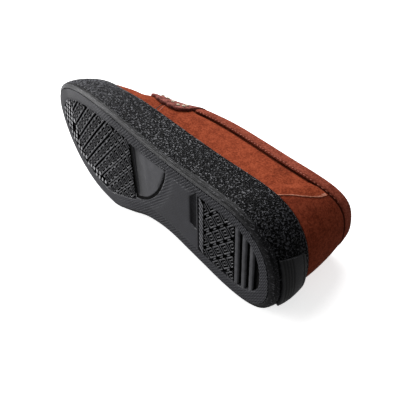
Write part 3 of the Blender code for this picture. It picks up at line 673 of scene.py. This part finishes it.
# Faces below a depth get the near-black rubber: painted shade.
def paint_groove_shade(bm, below):
    for f in bm.faces:
        if f.calc_center_median().z > below:
            f.material_index = 1


def tread_piece(bm, name, face_rubber, dark_below, rounding=0.2, segments=1, soft=40.0):
    """Rounds the sharp edges, paints what lies deep near black as shade, lifts the toe and makes the piece.
    """
    bm.normal_update()
    sharp = [e for e in bm.edges if e.calc_face_angle(0.0) > 0.8]
    round_edges(bm, sharp, rounding, segments)
    paint_groove_shade(bm, dark_below)
    lift_toe(bm, 1)
    piece(bm, name, [face_rubber, groove_shade_rubber], soft=soft)


print("tools for the tread ready")

# %% [markdown]
# The forefoot has slanted rows of such blocks. Towards the pad the blocks are wider, so the
# rows lie closer. A plane cuts them off at the pad. The toe and a strip along the inner edge
# stay free for smaller studs.

# %% Forefoot tread
DASH_ZONE = 9.0


def in_dash_zone(point, slack):
    """The toe and a strip along the inner edge, where the tread is made of small dashes."""
    inner_side = point.y < -15 and point.x > 212
    inner_strip = inner_side and distance_to(point, POCKETS["forefoot"]) < DASH_ZONE - slack
    return point.x > 259 + slack or inner_strip


ROW_FIRST = 106.8
ROW_PITCH = 10.1
ROW_START = 120.0
ROW_WIDTH = 8.2
CLOSE_ROW_WIDTH = 9.5
KNOB_ASIDE = 3.3
forefoot = bmesh.new()
tops = []
knobs = []
for row in range(-2, 9):
    for step in range(-8, 16):
        centre = ACROSS_ROW * (ROW_FIRST + ROW_PITCH * row)
        centre += ALONG_ROW * (ROW_START + BLOCK_PITCH_LONG * step)
        if near(centre, POCKETS["forefoot"], 2.5) and not in_dash_zone(centre, 2.0):
            width = CLOSE_ROW_WIDTH if centre.x < 195.7 - 0.49 * centre.y else ROW_WIDTH
            tops.append(lug(forefoot, centre, BLOCK_LENGTH, width, ROW_TURN))
        for across in (-KNOB_ASIDE, KNOB_ASIDE):
            between = centre + ALONG_ROW * (BLOCK_PITCH_LONG / 2) + ACROSS_ROW * across
            if inside(between, POCKETS["forefoot"]) and not in_dash_zone(between, 2.0) and between.x > 190:
                knobs.append(between)
nest(forefoot, tops, 1.1, 1.0, 1.4)
trim(forefoot, Vector((160.9, 0, 0)), Vector((-1.0, -0.108, 0)).normalized())
print(len(tops), "blocks")
tread_piece(forefoot, "forefoot_tread", tread_rubber, 0.8)

# %% [markdown]
# The toe and the inner edge carry short studs in slanted lines, and a small knob stands
# wherever two cells of a row meet. They are painted pale, a painted highlight. The cuts
# between the rows, black with painted shade, run on between the studs.

# %% Studs and knobs
STUD_START = Vector((262, -10, 0))
STUD_LINE = Vector((0.487, -0.873, 0))
STUD_ACROSS = Vector((0.873, 0.487, 0))
STUD_TURN = math.atan2(STUD_LINE.y, STUD_LINE.x)
STUD_PITCH_LONG = 7.0
STUD_PITCH_WIDE = 4.9
STUD_SHIFT = 3.5
STUD_TOP = 0.15
CUT_WIDTH = 2.4


def on_cut(point):
    """Whether a point lies in one of the black cuts between the rows."""
    rows = (point.dot(ACROSS_ROW) - ROW_FIRST) / ROW_PITCH - 0.5
    in_cut = -0.3 < rows < 6.3 and abs(rows - round(rows)) * ROW_PITCH < CUT_WIDTH / 2
    return in_cut and distance_to(point, POCKETS["forefoot"]) > 7.5


studs = bmesh.new()
count = 0
for i in range(-22, 23):
    for j in range(-14, 15):
        centre = STUD_START + STUD_ACROSS * (STUD_PITCH_WIDE * i)
        centre += STUD_LINE * (STUD_PITCH_LONG * j + STUD_SHIFT * i)
        if inside(centre, POCKETS["forefoot"]) and in_dash_zone(centre, -1.0) and not on_cut(centre):
            lug(studs, centre, 4.2, 2.4, STUD_TURN, STUD_TOP)
            count += 1
knob_set = bmesh.new()
for centre in knobs:
    lug(knob_set, centre, 2.6, 1.7, ROW_TURN, STUD_TOP)
print(count, "studs and", len(knobs), "knobs")
# Studs and knobs get pale rubber: painted highlight.
tread_piece(studs, "tread_studs", stud_highlight_rubber, 1.2)
tread_piece(knob_set, "tread_knobs", pale_highlight_rubber, 1.2)

# %% [markdown]
# The heel has the same nested blocks, with a thin tie between two neighbours. One plane cuts
# the field off behind the rope strip, and one before the three plain bars at the back.

# %% Heel tread
BLOCK_PITCH_WIDE = 9.8
HEEL_BLOCK_WIDTH = 7.6
HEEL_START = Vector((52.9, 6.1, 0))
ROPE_EDGE = Vector((68.8, 0, 0))
ROPE_AWAY = Vector((1.0, 0.147, 0)).normalized()
BAR_EDGE = Vector((37.4, 0, 0))
BAR_AWAY = Vector((-1.0, -0.122, 0)).normalized()
heel = bmesh.new()
tops = []
ties = []
for i in range(-6, 7):
    for j in range(-6, 7):
        centre = HEEL_START + ALONG_ROW * (BLOCK_PITCH_LONG * i) + ACROSS_ROW * (BLOCK_PITCH_WIDE * j)
        if near(centre, POCKETS["heel"], 2.5) and 32 < centre.x < 76:
            tops.append(lug(heel, centre, BLOCK_LENGTH, HEEL_BLOCK_WIDTH, ROW_TURN))
            ties.append(lug(heel, centre + ACROSS_ROW * (BLOCK_PITCH_WIDE / 2), 4.6, 1.0, ROW_TURN, 0.6))
nest(heel, tops, 1.0, 0.9, 1.4)
trim(heel, ROPE_EDGE, ROPE_AWAY)
trim(heel, BAR_EDGE, BAR_AWAY)
print(len(tops), "blocks and", len(ties), "ties")
tread_piece(heel, "heel_tread", tread_rubber, 0.8)

# %% Heel bars
bars = bmesh.new()
BAR_TILT = math.radians(7)
for x, reach in ((34.3, 30.0), (27.1, 29.0), (19.7, 25.0)):
    lug(bars, Vector((x, 1, 0)), 4.2, reach * 2, BAR_TILT)
bars.normal_update()
shoulders = [e for e in bars.edges if all(v.co.z < 0.5 for v in e.verts)]
round_edges(bars, shoulders, 1.35, 4)
# The deep part of the bars is painted near black as shade.
paint_groove_shade(bars, 1.7)
piece(bars, "heel_bars", [tread_rubber, groove_shade_rubber])

# %% [markdown]
# A strip like a rope lies across the front of the heel. Its strands are slanted, so each is
# a long lug, turned and set side by side, and two planes cut the row to a straight strip.

# %% Rope strip
ROPE_TILT = math.radians(8.4)
ROPE_X = 71.9
STRAND_PITCH = 4.2
STRAND_TURN = ROPE_TILT + math.radians(45)
rope_line = Matrix.Rotation(ROPE_TILT, 3, "Z") @ Vector((0, 1, 0))
rope_ahead = Vector((rope_line.y, -rope_line.x, 0))
rope = bmesh.new()
strands = 0
for k in range(-8, 9):
    centre = Vector((ROPE_X, 0, 0)) + rope_line * (STRAND_PITCH * k)
    if near(centre, POCKETS["heel"], 0.5):
        lug(rope, centre, 9.0, 1.9, STRAND_TURN, 0.0)
        strands += 1
trim(rope, Vector((74.2, 0, 0)), rope_ahead)
trim(rope, Vector((69.6, 0, 0)), -rope_ahead)
print(strands, "strands")
# The strands get pale rubber: painted highlight.
tread_piece(rope, "rope_strip", pale_highlight_rubber, 1.2, 0.35, 2, soft=60.0)

# %% [markdown]
# The foxing is the rubber band round the sole. Its face has a crepe grain: soft worms of
# rubber with thin dark creases between them. That is modelled, because it shows on the edge
# of the shoe too. So the faces that look outward are cut finer first.

# %% Foxing
HEEL_CENTRE_X = 48.0
BALL_CENTRE_X = 212.0
foxing = refined(node_copy("foxing"), 2)


def spine_x(x):
    """The nearest place on the middle line from the heel's centre to the ball's."""
    return min(max(x, HEEL_CENTRE_X), BALL_CENTRE_X)


def outward_share(point, normal):
    middle = Vector((spine_x(point.x), 0, point.z))
    return normal.dot((point - middle).normalized())


band = [f for f in foxing.faces if outward_share(f.calc_center_median(), f.normal) > 0.45]
bmesh.ops.subdivide_edges(foxing, edges=list({e for f in band for e in f.edges}), cuts=2, use_grid_fill=True)
foxing.normal_update()
print(len(band), "faces cut into", len(foxing.faces))

# %% [markdown]
# Every point of the face then moves in by a noise. The rounded foot of the band has no crepe,
# only fine lines along it, and a dark line of painted shade parts the two. Attributes tell the
# finish how near the toe a point is, where to paint shade into creases and lines, and where to
# paint a highlight on the rim.

# %% Crepe relief
LIP_LINE = 1.9


def lip_top(x):
    """Height of the smooth foot of the band, lower along the ball of the foot."""
    return 4.8 - 1.9 * smooth_step(60.0, 110.0, x) + 1.6 * smooth_step(265.0, 295.0, x)


crease_shade_layer = new_layer(foxing, "crease")
rim_highlight_layer = new_layer(foxing, "rim")
fore_layer = new_layer(foxing, "fore")
toe_highlight_layer = new_layer(foxing, "toe")
for v in foxing.verts:
    if outward_share(v.co, v.normal) < 0.25:
        continue
    x = v.co.x
    height = v.co.z - rise(x)
    top = lip_top(x)
    v[fore_layer] = smooth_step(60.0, 170.0, x)
    # Share of the painted highlight towards the toe.
    v[toe_highlight_layer] = 0.9 * smooth_step(170.0, 265.0, x)
    # Faces that look up get a painted highlight on their rim.
    v[rim_highlight_layer] = smooth_step(0.30, 0.62, v.normal.z)
    if height < top:
        # The lip at the toe and a thin line at its foot get a painted highlight.
        toe_lip_highlight = 0.85 * smooth_step(250.0, 288.0, x)
        v[rim_highlight_layer] = max(toe_lip_highlight, 0.2 * fade_out(0.0, 1.4, height))
    worm = abs(noise.noise(v.co / 1.9)) + 0.45 * abs(noise.noise(v.co / 0.95 + Vector((7, 3, 1))))
    crease = fade_out(0.02, 0.40, worm) * smooth_step(top - 0.3, top + 0.9, height)
    behind_ball = fade_out(170.0, 230.0, x)
    line = 0.5 - 0.5 * math.cos(2 * math.pi * height / LIP_LINE)
    line *= (0.25 + 0.75 * behind_ball) * fade_out(top - 0.4, top, height)
    foot = math.exp(-((height - top - 0.3) / 0.8) ** 2)
    foot *= smooth_step(165.0, 205.0, x) * fade_out(262.0, 285.0, x)
    # Painted shade in the creases, the lines of the lip and the dark line above it.
    v[crease_shade_layer] = max(0.5 * crease, 0.6 * line, 0.9 * foot)
    v.co -= v.normal * (0.35 * crease + 0.2 * line + 0.4 * foot)
for f in foxing.faces:
    centre = f.calc_center_median()
    if centre.z - rise(centre.x) < lip_top(centre.x) + 0.2:
        f.material_index = 1
piece(foxing, "foxing_band", [crepe_rubber, lip_rubber], "foxing", soft=80.0)

# %% [markdown]
# The label on the heel is a raised rubber plate with a few ribs along its foot. It stays
# bare above them. Its back goes a little into the band, so no gap shows behind it.

# %% Heel label
RIB = 2.1
label = refined(node_copy("heel_label"), 2, crisp=0.4)
bmesh.ops.subdivide_edges(label, edges=label.edges[:], cuts=1, use_grid_fill=True)
label.normal_update()
rib_shade_layer = new_layer(label, "crease")
for v in label.verts:
    if v.normal.x < -0.4 and 6.6 < v.co.z < 26:
        fade = smooth_step(7.0, 7.8, v.co.z) * fade_out(15.0, 15.8, v.co.z)
        frame_line = smooth_step(23.0, 23.5, v.co.z) * fade_out(24.0, 24.5, v.co.z)
        between = fade * (0.5 - 0.5 * math.cos(2 * math.pi * (v.co.z - 7.2) / RIB))
        # The grooves between the ribs and a line near the top are darkened: painted shade.
        v[rib_shade_layer] = 0.9 * max(between, frame_line)
        v.co.x += 0.5 * between + 0.4 * frame_line
    elif v.normal.x > 0.4:
        v.co.x += 0.5
piece(label, "heel_label_plate", [label_rubber], "heel_label", soft=60.0)

# %% [markdown]
# The upper is a shell of suede with a lining. Faces that look at the foot get the lining, and
# the rest the suede. Spots of tone darken or lighten the suede softly, each with a place on the
# shoe, a reach and an amount.

# %% Lining and handling marks
lining_finish, tree, shader = finish("lining leather", 0.6, 0.4)
lining_stops = ((0.35, (0.27, 0.16, 0.085)), (0.65, (0.36, 0.22, 0.125)))
paint(tree, shader, ramp(tree, grain(tree, 420.0, 4.0), lining_stops))
bump(tree, shader, grain(tree, 900.0, 3.0), 0.2, 0.0006)
# The last spot, on the vamp below the strap, is painted shadow of the strap.
MARKS = (((49.7, 34.1, 51.8), 8.0, -0.30), ((58.0, 35.0, 42.0), 14.0, 0.12),
         ((100.0, 36.0, 45.0), 20.0, 0.10), ((17.4, 31.1, 40.0), 7.0, -0.20),
         ((11.6, 26.5, 47.2), 6.0, -0.25), ((10.5, 23.2, 58.5), 6.0, -0.15),
         ((38.0, 35.0, 40.0), 9.0, -0.10), ((172.0, 38.0, 40.0), 9.0, -0.14))


def tone_at(point):
    total = 0.0
    for place, reach, amount in MARKS:
        total += amount * math.exp(-((point - Vector(place)).length / reach) ** 2)
    return total


def faces_foot(face):
    centre = face.calc_center_median()
    middle = Vector((spine_x(centre.x), -3.0, 24.0))
    return face.normal.dot((centre - middle).normalized()) < -0.1


print(len(MARKS), "spots of tone")

# %% [markdown]
# The binding is a strip folded over the collar. A row of stitches holds it just above its lower
# edge. At each station round the collar a search halves a span of heights until it finds where
# the binding ends, and a ray a little higher finds the place of the stitch.

# %% Row of stitches round the collar
STITCH_PITCH = 3.1
COLLAR_ROUND = 42
binding = refined(node_copy("collar_binding"), 2)
BINDING_TREE = BVHTree.FromBMesh(binding)


def collar_stations():
    """Plan points outside the collar and the way to look at it from there."""
    for k in range(int(100 / STITCH_PITCH)):
        yield Vector((147 - STITCH_PITCH * k, 100, 0)), Vector((0, -1, 0))
    turns = int(math.pi * COLLAR_ROUND / STITCH_PITCH)
    for k in range(turns + 1):
        turn = math.pi * k / turns
        look = Vector((math.sin(turn), -math.cos(turn), 0))
        yield Vector((HEEL_CENTRE_X, 1, 0)) - look * 100, look
    for k in range(int(100 / STITCH_PITCH)):
        yield Vector((HEEL_CENTRE_X + STITCH_PITCH * k, -100, 0)), Vector((0, 1, 0))


collar_row = []
for start, look in collar_stations():
    low, high = 50.0, 66.0
    for _ in range(9):
        middle = (low + high) / 2
        if BINDING_TREE.ray_cast(start + Vector((0, 0, middle)), look, 75.0)[0]:
            high = middle
        else:
            low = middle
    hit = BINDING_TREE.ray_cast(start + Vector((0, 0, high + 1.3)), look, 75.0)
    if hit[0]:
        collar_row.append((hit[0], hit[1]))
print(len(collar_row), "places round the collar")

# %% [markdown]
# The thread pulls hard, so the strip is drawn in along that row, and painted shade darkens it
# there. A tree of points along the row gives the distance of any point from it.

# %% Binding strip
seam_line = kdtree.KDTree(4 * len(collar_row))
for number, (here, after) in enumerate(zip(collar_row, collar_row[1:] + collar_row[-1:])):
    for quarter in range(4):
        seam_line.insert(here[0].lerp(after[0], quarter / 4), 4 * number + quarter)
seam_line.balance()
tone_layer = new_layer(binding, "tone")
for v in binding.verts:
    share = math.exp(-(seam_line.find(v.co)[2] / 0.75) ** 2)
    # Painted shade along the row of stitches.
    v[tone_layer] = -0.7 * share
    v.co -= v.normal * (0.25 * share)
piece(binding, "collar_binding_strip", [binding_suede], "collar_binding", soft=60.0)

# %% [markdown]
# A narrow trough runs along the lower edge of the binding and on to the strap, darkened with
# painted shade. The faces next to it are cut finer, and their points go in.

# %% Trough under the binding
TROUGH_REACH = 1.3
TROUGH_DEPTH = 0.9
TROUGH_AHEAD = ((148.5, 58.2), (157.0, 57.0))


def from_trough(point):
    """Distance from the foot of the binding, or from its line on to the strap."""
    to_binding = BINDING_TREE.find_nearest(point)[3] - 0.3
    (x0, z0), (x1, z1) = TROUGH_AHEAD
    share = min(max((point.x - x0) / (x1 - x0), 0.0), 1.0)
    ahead_of_it = math.hypot(point.x - x0 - (x1 - x0) * share, point.z - z0 - (z1 - z0) * share)
    return max(min(to_binding, ahead_of_it + 0.2), 0.0)


def with_trough(bm):
    close = [f for f in bm.faces if not faces_foot(f) and from_trough(f.calc_center_median()) < 3.5]
    bmesh.ops.subdivide_edges(bm, edges=list({e for f in close for e in f.edges}), cuts=3, use_grid_fill=True)
    bmesh.ops.triangulate(bm, faces=[f for f in bm.faces if len(f.verts) > 4])
    bm.normal_update()
    tone_layer = new_layer(bm, "tone")
    for v in bm.verts:
        away = from_trough(v.co)
        share = math.exp(-(away / TROUGH_REACH) ** 2)
        # Painted shade in the trough, on top of the spots of tone.
        v[tone_layer] = tone_at(v.co) - 0.9 * share
        if away > 0.15:
            v.co -= v.normal * (TROUGH_DEPTH * share)


print("trough is", TROUGH_DEPTH, "mm deep")

# %% [markdown]
# The shell of the upper is refined until it is smooth. Where the strap's front edge presses on
# the vamp, the leather swells out a little. The heel piece is refined in the same way.

# %% Upper
SWELL_WAY = Vector((0.1, 0.8, 0.5))


def vamp_swell(point):
    """The vamp swells out a little where the strap's front edge presses on it."""
    behind = math.exp(-((point - Vector((191, 36, 45))).length / 14.0) ** 2)
    before = math.exp(-((point - Vector((212, 32, 46))).length / 12.0) ** 2)
    return 1.8 * behind + 1.5 * before


upper = refined(node_copy("upper"), 2)
for v in upper.verts:
    v.co += SWELL_WAY * vamp_swell(v.co)
with_trough(upper)
inner = [f for f in upper.faces if faces_foot(f)]
for f in inner:
    f.material_index = 1
UPPER_TREE = BVHTree.FromBMesh(upper)
piece(upper, "upper_suede", [quarter_suede, lining_finish], "upper", soft=60.0)
print(len(inner), "lining faces")

# %% Heel piece
counter = refined(node_copy("heel_counter"), 2, crisp=0.35)
with_trough(counter)
piece(counter, "heel_counter_cover", [heel_suede], "heel_counter", soft=60.0)

# %% [markdown]
# The strap is sewn down at its end with a coarse thread, which draws the leather into soft
# lumps. The end is lowered a little. Then its points move by a wave along the end, deepest at
# each stitch.

# %% Strap
STRAP_STITCHES = ((184.5, 50.6), (176.4, 50.0), (168.3, 49.3), (160.6, 48.9), (156.2, 50.8), (156.6, 54.2))
LUMP = 8.0
STRAP_END_Z = 46.8
STRAP_END_FALL = 0.115
STRAP_DROP = 2.8
THROAT_X = 150.0
strap = refined(node_copy("saddle_strap"), 3, crisp=0.5)
tone_layer = new_layer(strap, "tone")
for v in strap.verts:
    side = 1 if v.co.y > -4 else -1
    v.co += SWELL_WAY * vamp_swell(v.co)
    v.co.x -= 3.2 * max(smooth_step(47.0, 54.0, v.co.z), smooth_step(170.0, 185.0, v.co.x))
    v.co.z += 1.5 * smooth_step(58.0, 72.0, v.co.z)
    end_height = STRAP_END_Z - STRAP_END_FALL * (v.co.x - THROAT_X)
    lower = fade_out(0.0, 9.0, v.co.z - end_height) * fade_out(174.0, 188.0, v.co.x)
    v.co += Vector((0, 0.7 * side, -STRAP_DROP)) * lower
    end_height -= STRAP_DROP * lower
    near_end = fade_out(2.0, 12.0, v.co.z - end_height)
    pull = min(math.hypot(v.co.x - x, v.co.z - z) for x, z in STRAP_STITCHES)
    pucker = math.exp(-(pull / 2.2) ** 2) * near_end
    swell = near_end * (0.5 - 0.5 * math.cos(2 * math.pi * (v.co.x - 176.4) / LUMP))
    low = fade_out(0.3, 2.4, v.co.z - end_height)
    rear = fade_out(0.5, 3.0, v.co.x - 153.9 + 0.5 * (v.co.z - 46.6))
    # Tone paints light on the tops of the lumps, shade between them, and shade along the lower and the rear
    # edge of the end.
    v[tone_layer] = 0.25 * swell - 0.35 * (near_end - swell) - 0.5 * max(low, rear)
    v.co += v.normal * (0.6 * swell - 0.4 * pucker) * (v.normal.y * side > 0.2)
STRAP_TREE = BVHTree.FromBMesh(strap)
piece(strap, "saddle_strap_cover", [strap_suede], "saddle_strap", soft=60.0)

# %% [markdown]
# Stitches are short thick threads. Each is a flattened sphere laid on the surface: a ray
# finds the leather from the side, and the stitch takes its height and its slope.

# %% Thread
def thread_finish(name, dark, light):
    made, tree, shader = finish(name, 0.6, 0.3)
    colour = ramp(tree, grain(tree, 2600.0, 2.0), ((0.38, dark), (0.62, light)))
    paint(tree, shader, colour)
    bump(tree, shader, grain(tree, 2600.0, 2.0), 0.3, 0.0004)
    return made


cream_thread = thread_finish("cream thread", (0.62, 0.50, 0.36), (0.85, 0.76, 0.62))
# Near-black thread that stands in for the shadow of the seam's groove: painted shadow.
groove_shadow_thread = thread_finish("groove shadow thread", (0.020, 0.006, 0.004), (0.050, 0.013, 0.009))
rust_thread = thread_finish("rust thread", (0.40, 0.10, 0.06), (0.56, 0.17, 0.11))


def from_side(tree, x, z, side):
    hit = tree.ray_cast(Vector((x, 100.0 * side, z)), Vector((0, -side, 0)), 92.0)
    return hit[0], hit[1]


def stitch(bm, place, normal, run, length, width, height):
    along = (run - normal * run.dot(normal)).normalized()
    turn = Matrix((along, normal.cross(along), normal)).transposed().to_4x4()
    size = Matrix.Diagonal((length / 2, width / 2, height / 2, 1))
    laid = Matrix.Translation(place) @ turn @ size
    bmesh.ops.create_uvsphere(bm, u_segments=8, v_segments=6, radius=1.0, matrix=laid)


strap_thread = bmesh.new()
for side in (1, -1):
    for x, z in STRAP_STITCHES:
        place, normal = from_side(STRAP_TREE, x, z, side)
        if place:
            stitch(strap_thread, place + normal * 0.6, normal, Vector((-1, 0, 0.35)), 3.8, 1.9, 1.7)
piece(strap_thread, "strap_stitches", [cream_thread], soft=80.0)

# %% [markdown]
# Two short rows of thread close the seam on the side, a near-black one that paints the shadow
# of a groove, and a rust one. Each is given by its two ends, and a ray lays every stitch on
# the leather.

# %% Side seam
SEAMS = (((168.3, 35.6), (172.3, 43.6)), ((164.3, 34.7), (168.9, 42.3)))
SEAM_FOOT_Z = 29
seam_thread = bmesh.new()
for side in (1, -1):
    for number, ((x0, z0), (x1, z1)) in enumerate(SEAMS):
        for k in range(-1, 6):
            share = k / 4
            x = x0 + (x1 - x0) * share
            z = z0 + (z1 - z0) * share
            place, normal = from_side(UPPER_TREE, x, z, side)
            if place and z > SEAM_FOOT_Z:
                before = len(seam_thread.faces)
                stitch(seam_thread, place, normal, Vector((x1 - x0, 0, z1 - z0)), 2.6, 0.9, 0.7)
                seam_thread.faces.ensure_lookup_table()
                for f in seam_thread.faces[before:]:
                    f.material_index = number
piece(seam_thread, "side_seam_stitches", [groove_shadow_thread, rust_thread], soft=80.0)

# %% [markdown]
# The quarter laps over the heel piece and ends there in a raw cut edge, which is paler than
# the dyed nap. The lap is a strip: a grid whose points are laid on the upper by rays, rising
# towards the cut edge, with a small thickness.

# %% Quarter lap
LAP_EDGE = ((28.5, 32.0), (32.7, 29.5), (36.5, 27.2), (40.0, 25.2), (44.4, 22.1), (49.2, 19.3), (53.1, 17.7),
            (56.6, 16.7), (60.5, 16.4), (63.4, 16.5))
LAP_REACH = 17.0
LAP_FLAT = 6.0
LAP_LIFT = 2.0
RAW_WIDTH = 0.2
RAW_TOP_Z = 61.0


def lap_x(z):
    for (z0, x0), (z1, x1) in zip(LAP_EDGE, LAP_EDGE[1:]):
        if z <= z1:
            return x0 + (x1 - x0) * (z - z0) / (z1 - z0)
    return LAP_EDGE[-1][1]


def quarter_lap(side):
    lap = bmesh.new()
    bmesh.ops.create_grid(lap, x_segments=30, y_segments=10, size=1.0)
    for v in lap.verts:
        z = LAP_EDGE[0][0] + (LAP_EDGE[-1][0] - LAP_EDGE[0][0]) * (v.co.x + 1) / 2
        back = LAP_REACH * ((v.co.y + 1) / 2) ** 2
        place, normal = from_side(UPPER_TREE, lap_x(z) + back, z, side)
        lift = LAP_LIFT * fade_out(LAP_FLAT, LAP_REACH, back) - 0.3 * back / LAP_REACH
        free = smooth_step(0.4, 1.8, from_trough(place))
        v.co = place + normal * (lift * free - 0.4 * (1 - free))
    lap.normal_update()
    if sum(f.normal.y for f in lap.faces) * side < 0:
        bmesh.ops.reverse_faces(lap, faces=lap.faces[:])
    lap.normal_update()
    bmesh.ops.solidify(lap, geom=lap.faces[:], thickness=0.6)
    tone_layer = new_layer(lap, "tone")
    for v in lap.verts:
        # Painted shade of the trough reaches the lap too, on top of the spots of tone.
        v[tone_layer] = tone_at(v.co) - 0.9 * math.exp(-(from_trough(v.co) / TROUGH_REACH) ** 2)
    for f in lap.faces:
        centre = f.calc_center_median()
        if centre.x - lap_x(centre.z) < RAW_WIDTH and centre.z < RAW_TOP_Z:
            f.material_index = 1
    return lap


for side, name in ((1, "quarter_lap_outer"), (-1, "quarter_lap_inner")):
    piece(quarter_lap(side), name, [quarter_suede, raw_edge])

# %% [markdown]
# The stitches of the binding lie in their groove, each turned towards the next one.

# %% Binding stitches
binding_thread = bmesh.new()
for (place, normal), (after, _) in zip(collar_row, collar_row[1:]):
    stitch(binding_thread, place + normal * 0.02, normal, after - place, 1.9, 0.6, 0.45)
piece(binding_thread, "binding_stitches", [rust_thread], soft=80.0)

# %% [markdown]
# The footbed is a foam pad with a cloth cover. Its rim is rounded.

# %% Footbed
cloth, tree, shader = finish("footbed cloth", 0.9, 0.2)
cloth_stops = ((0.4, (0.22, 0.14, 0.08)), (0.6, (0.30, 0.20, 0.12)))
paint(tree, shader, ramp(tree, grain(tree, 1500.0, 2.0), cloth_stops))
bump(tree, shader, grain(tree, 1500.0, 2.0), 0.3, 0.0005)
footbed = node_copy("insole")
rim = [e for e in footbed.edges if e.calc_face_angle(0.0) > 0.9]
round_edges(footbed, rim, 1.6, 3)
footbed_piece = piece(footbed, "footbed", [cloth], "insole")

# %% [markdown]
# The floor is plain and nearly white, and glows a little, so a shadow stays faint on it. One
# large soft light hangs over the collar and the toe, so the heel and every edge that looks
# at the sole stand in shade. A weaker light looks at the sole.

# %% Floor
floor_bm = bmesh.new()
bmesh.ops.create_grid(floor_bm, x_segments=1, y_segments=1, size=6.0)
floor_mesh = bpy.data.meshes.new("floor")
floor_bm.to_mesh(floor_mesh)
floor_bm.free()
floor = placed("floor", floor_mesh)
floor_finish, tree, shader = finish("floor paper", 0.9, 0.1)
paper_stops = ((0.3, (0.92, 0.92, 0.92)), (0.7, (0.95, 0.95, 0.95)))
paint(tree, shader, ramp(tree, grain(tree, 30.0, 2.0), paper_stops))
shader.inputs["Emission Color"].default_value = (1, 1, 1, 1)
shader.inputs["Emission Strength"].default_value = 0.70
floor_mesh.materials.append(floor_finish)
floor.visible_diffuse = False
floor.visible_glossy = False
print("floor laid")

# %% Lights
def soft_light(name, place, size, power):
    data = bpy.data.lights.new(name, "AREA")
    data.shape = "DISK"
    data.size = size
    data.energy = power
    made = placed(name, data)
    made.location = place
    made.rotation_euler = (Vector((0, 0, 0.04)) - Vector(place)).to_track_quat("-Z", "Y").to_euler()


soft_light("key", (-0.65, 0.60, 1.05), 1.5, 27.0)
soft_light("sole fill", (-1.1, -0.85, 0.35), 0.9, 22.0)
world = bpy.data.worlds.new("studio")
world.use_nodes = True
background = world.node_tree.nodes["Background"]
background.inputs["Color"].default_value = (1, 1, 1, 1)
background.inputs["Strength"].default_value = 0.24
bpy.context.scene.world = world
bpy.context.scene.view_settings.view_transform = "Standard"
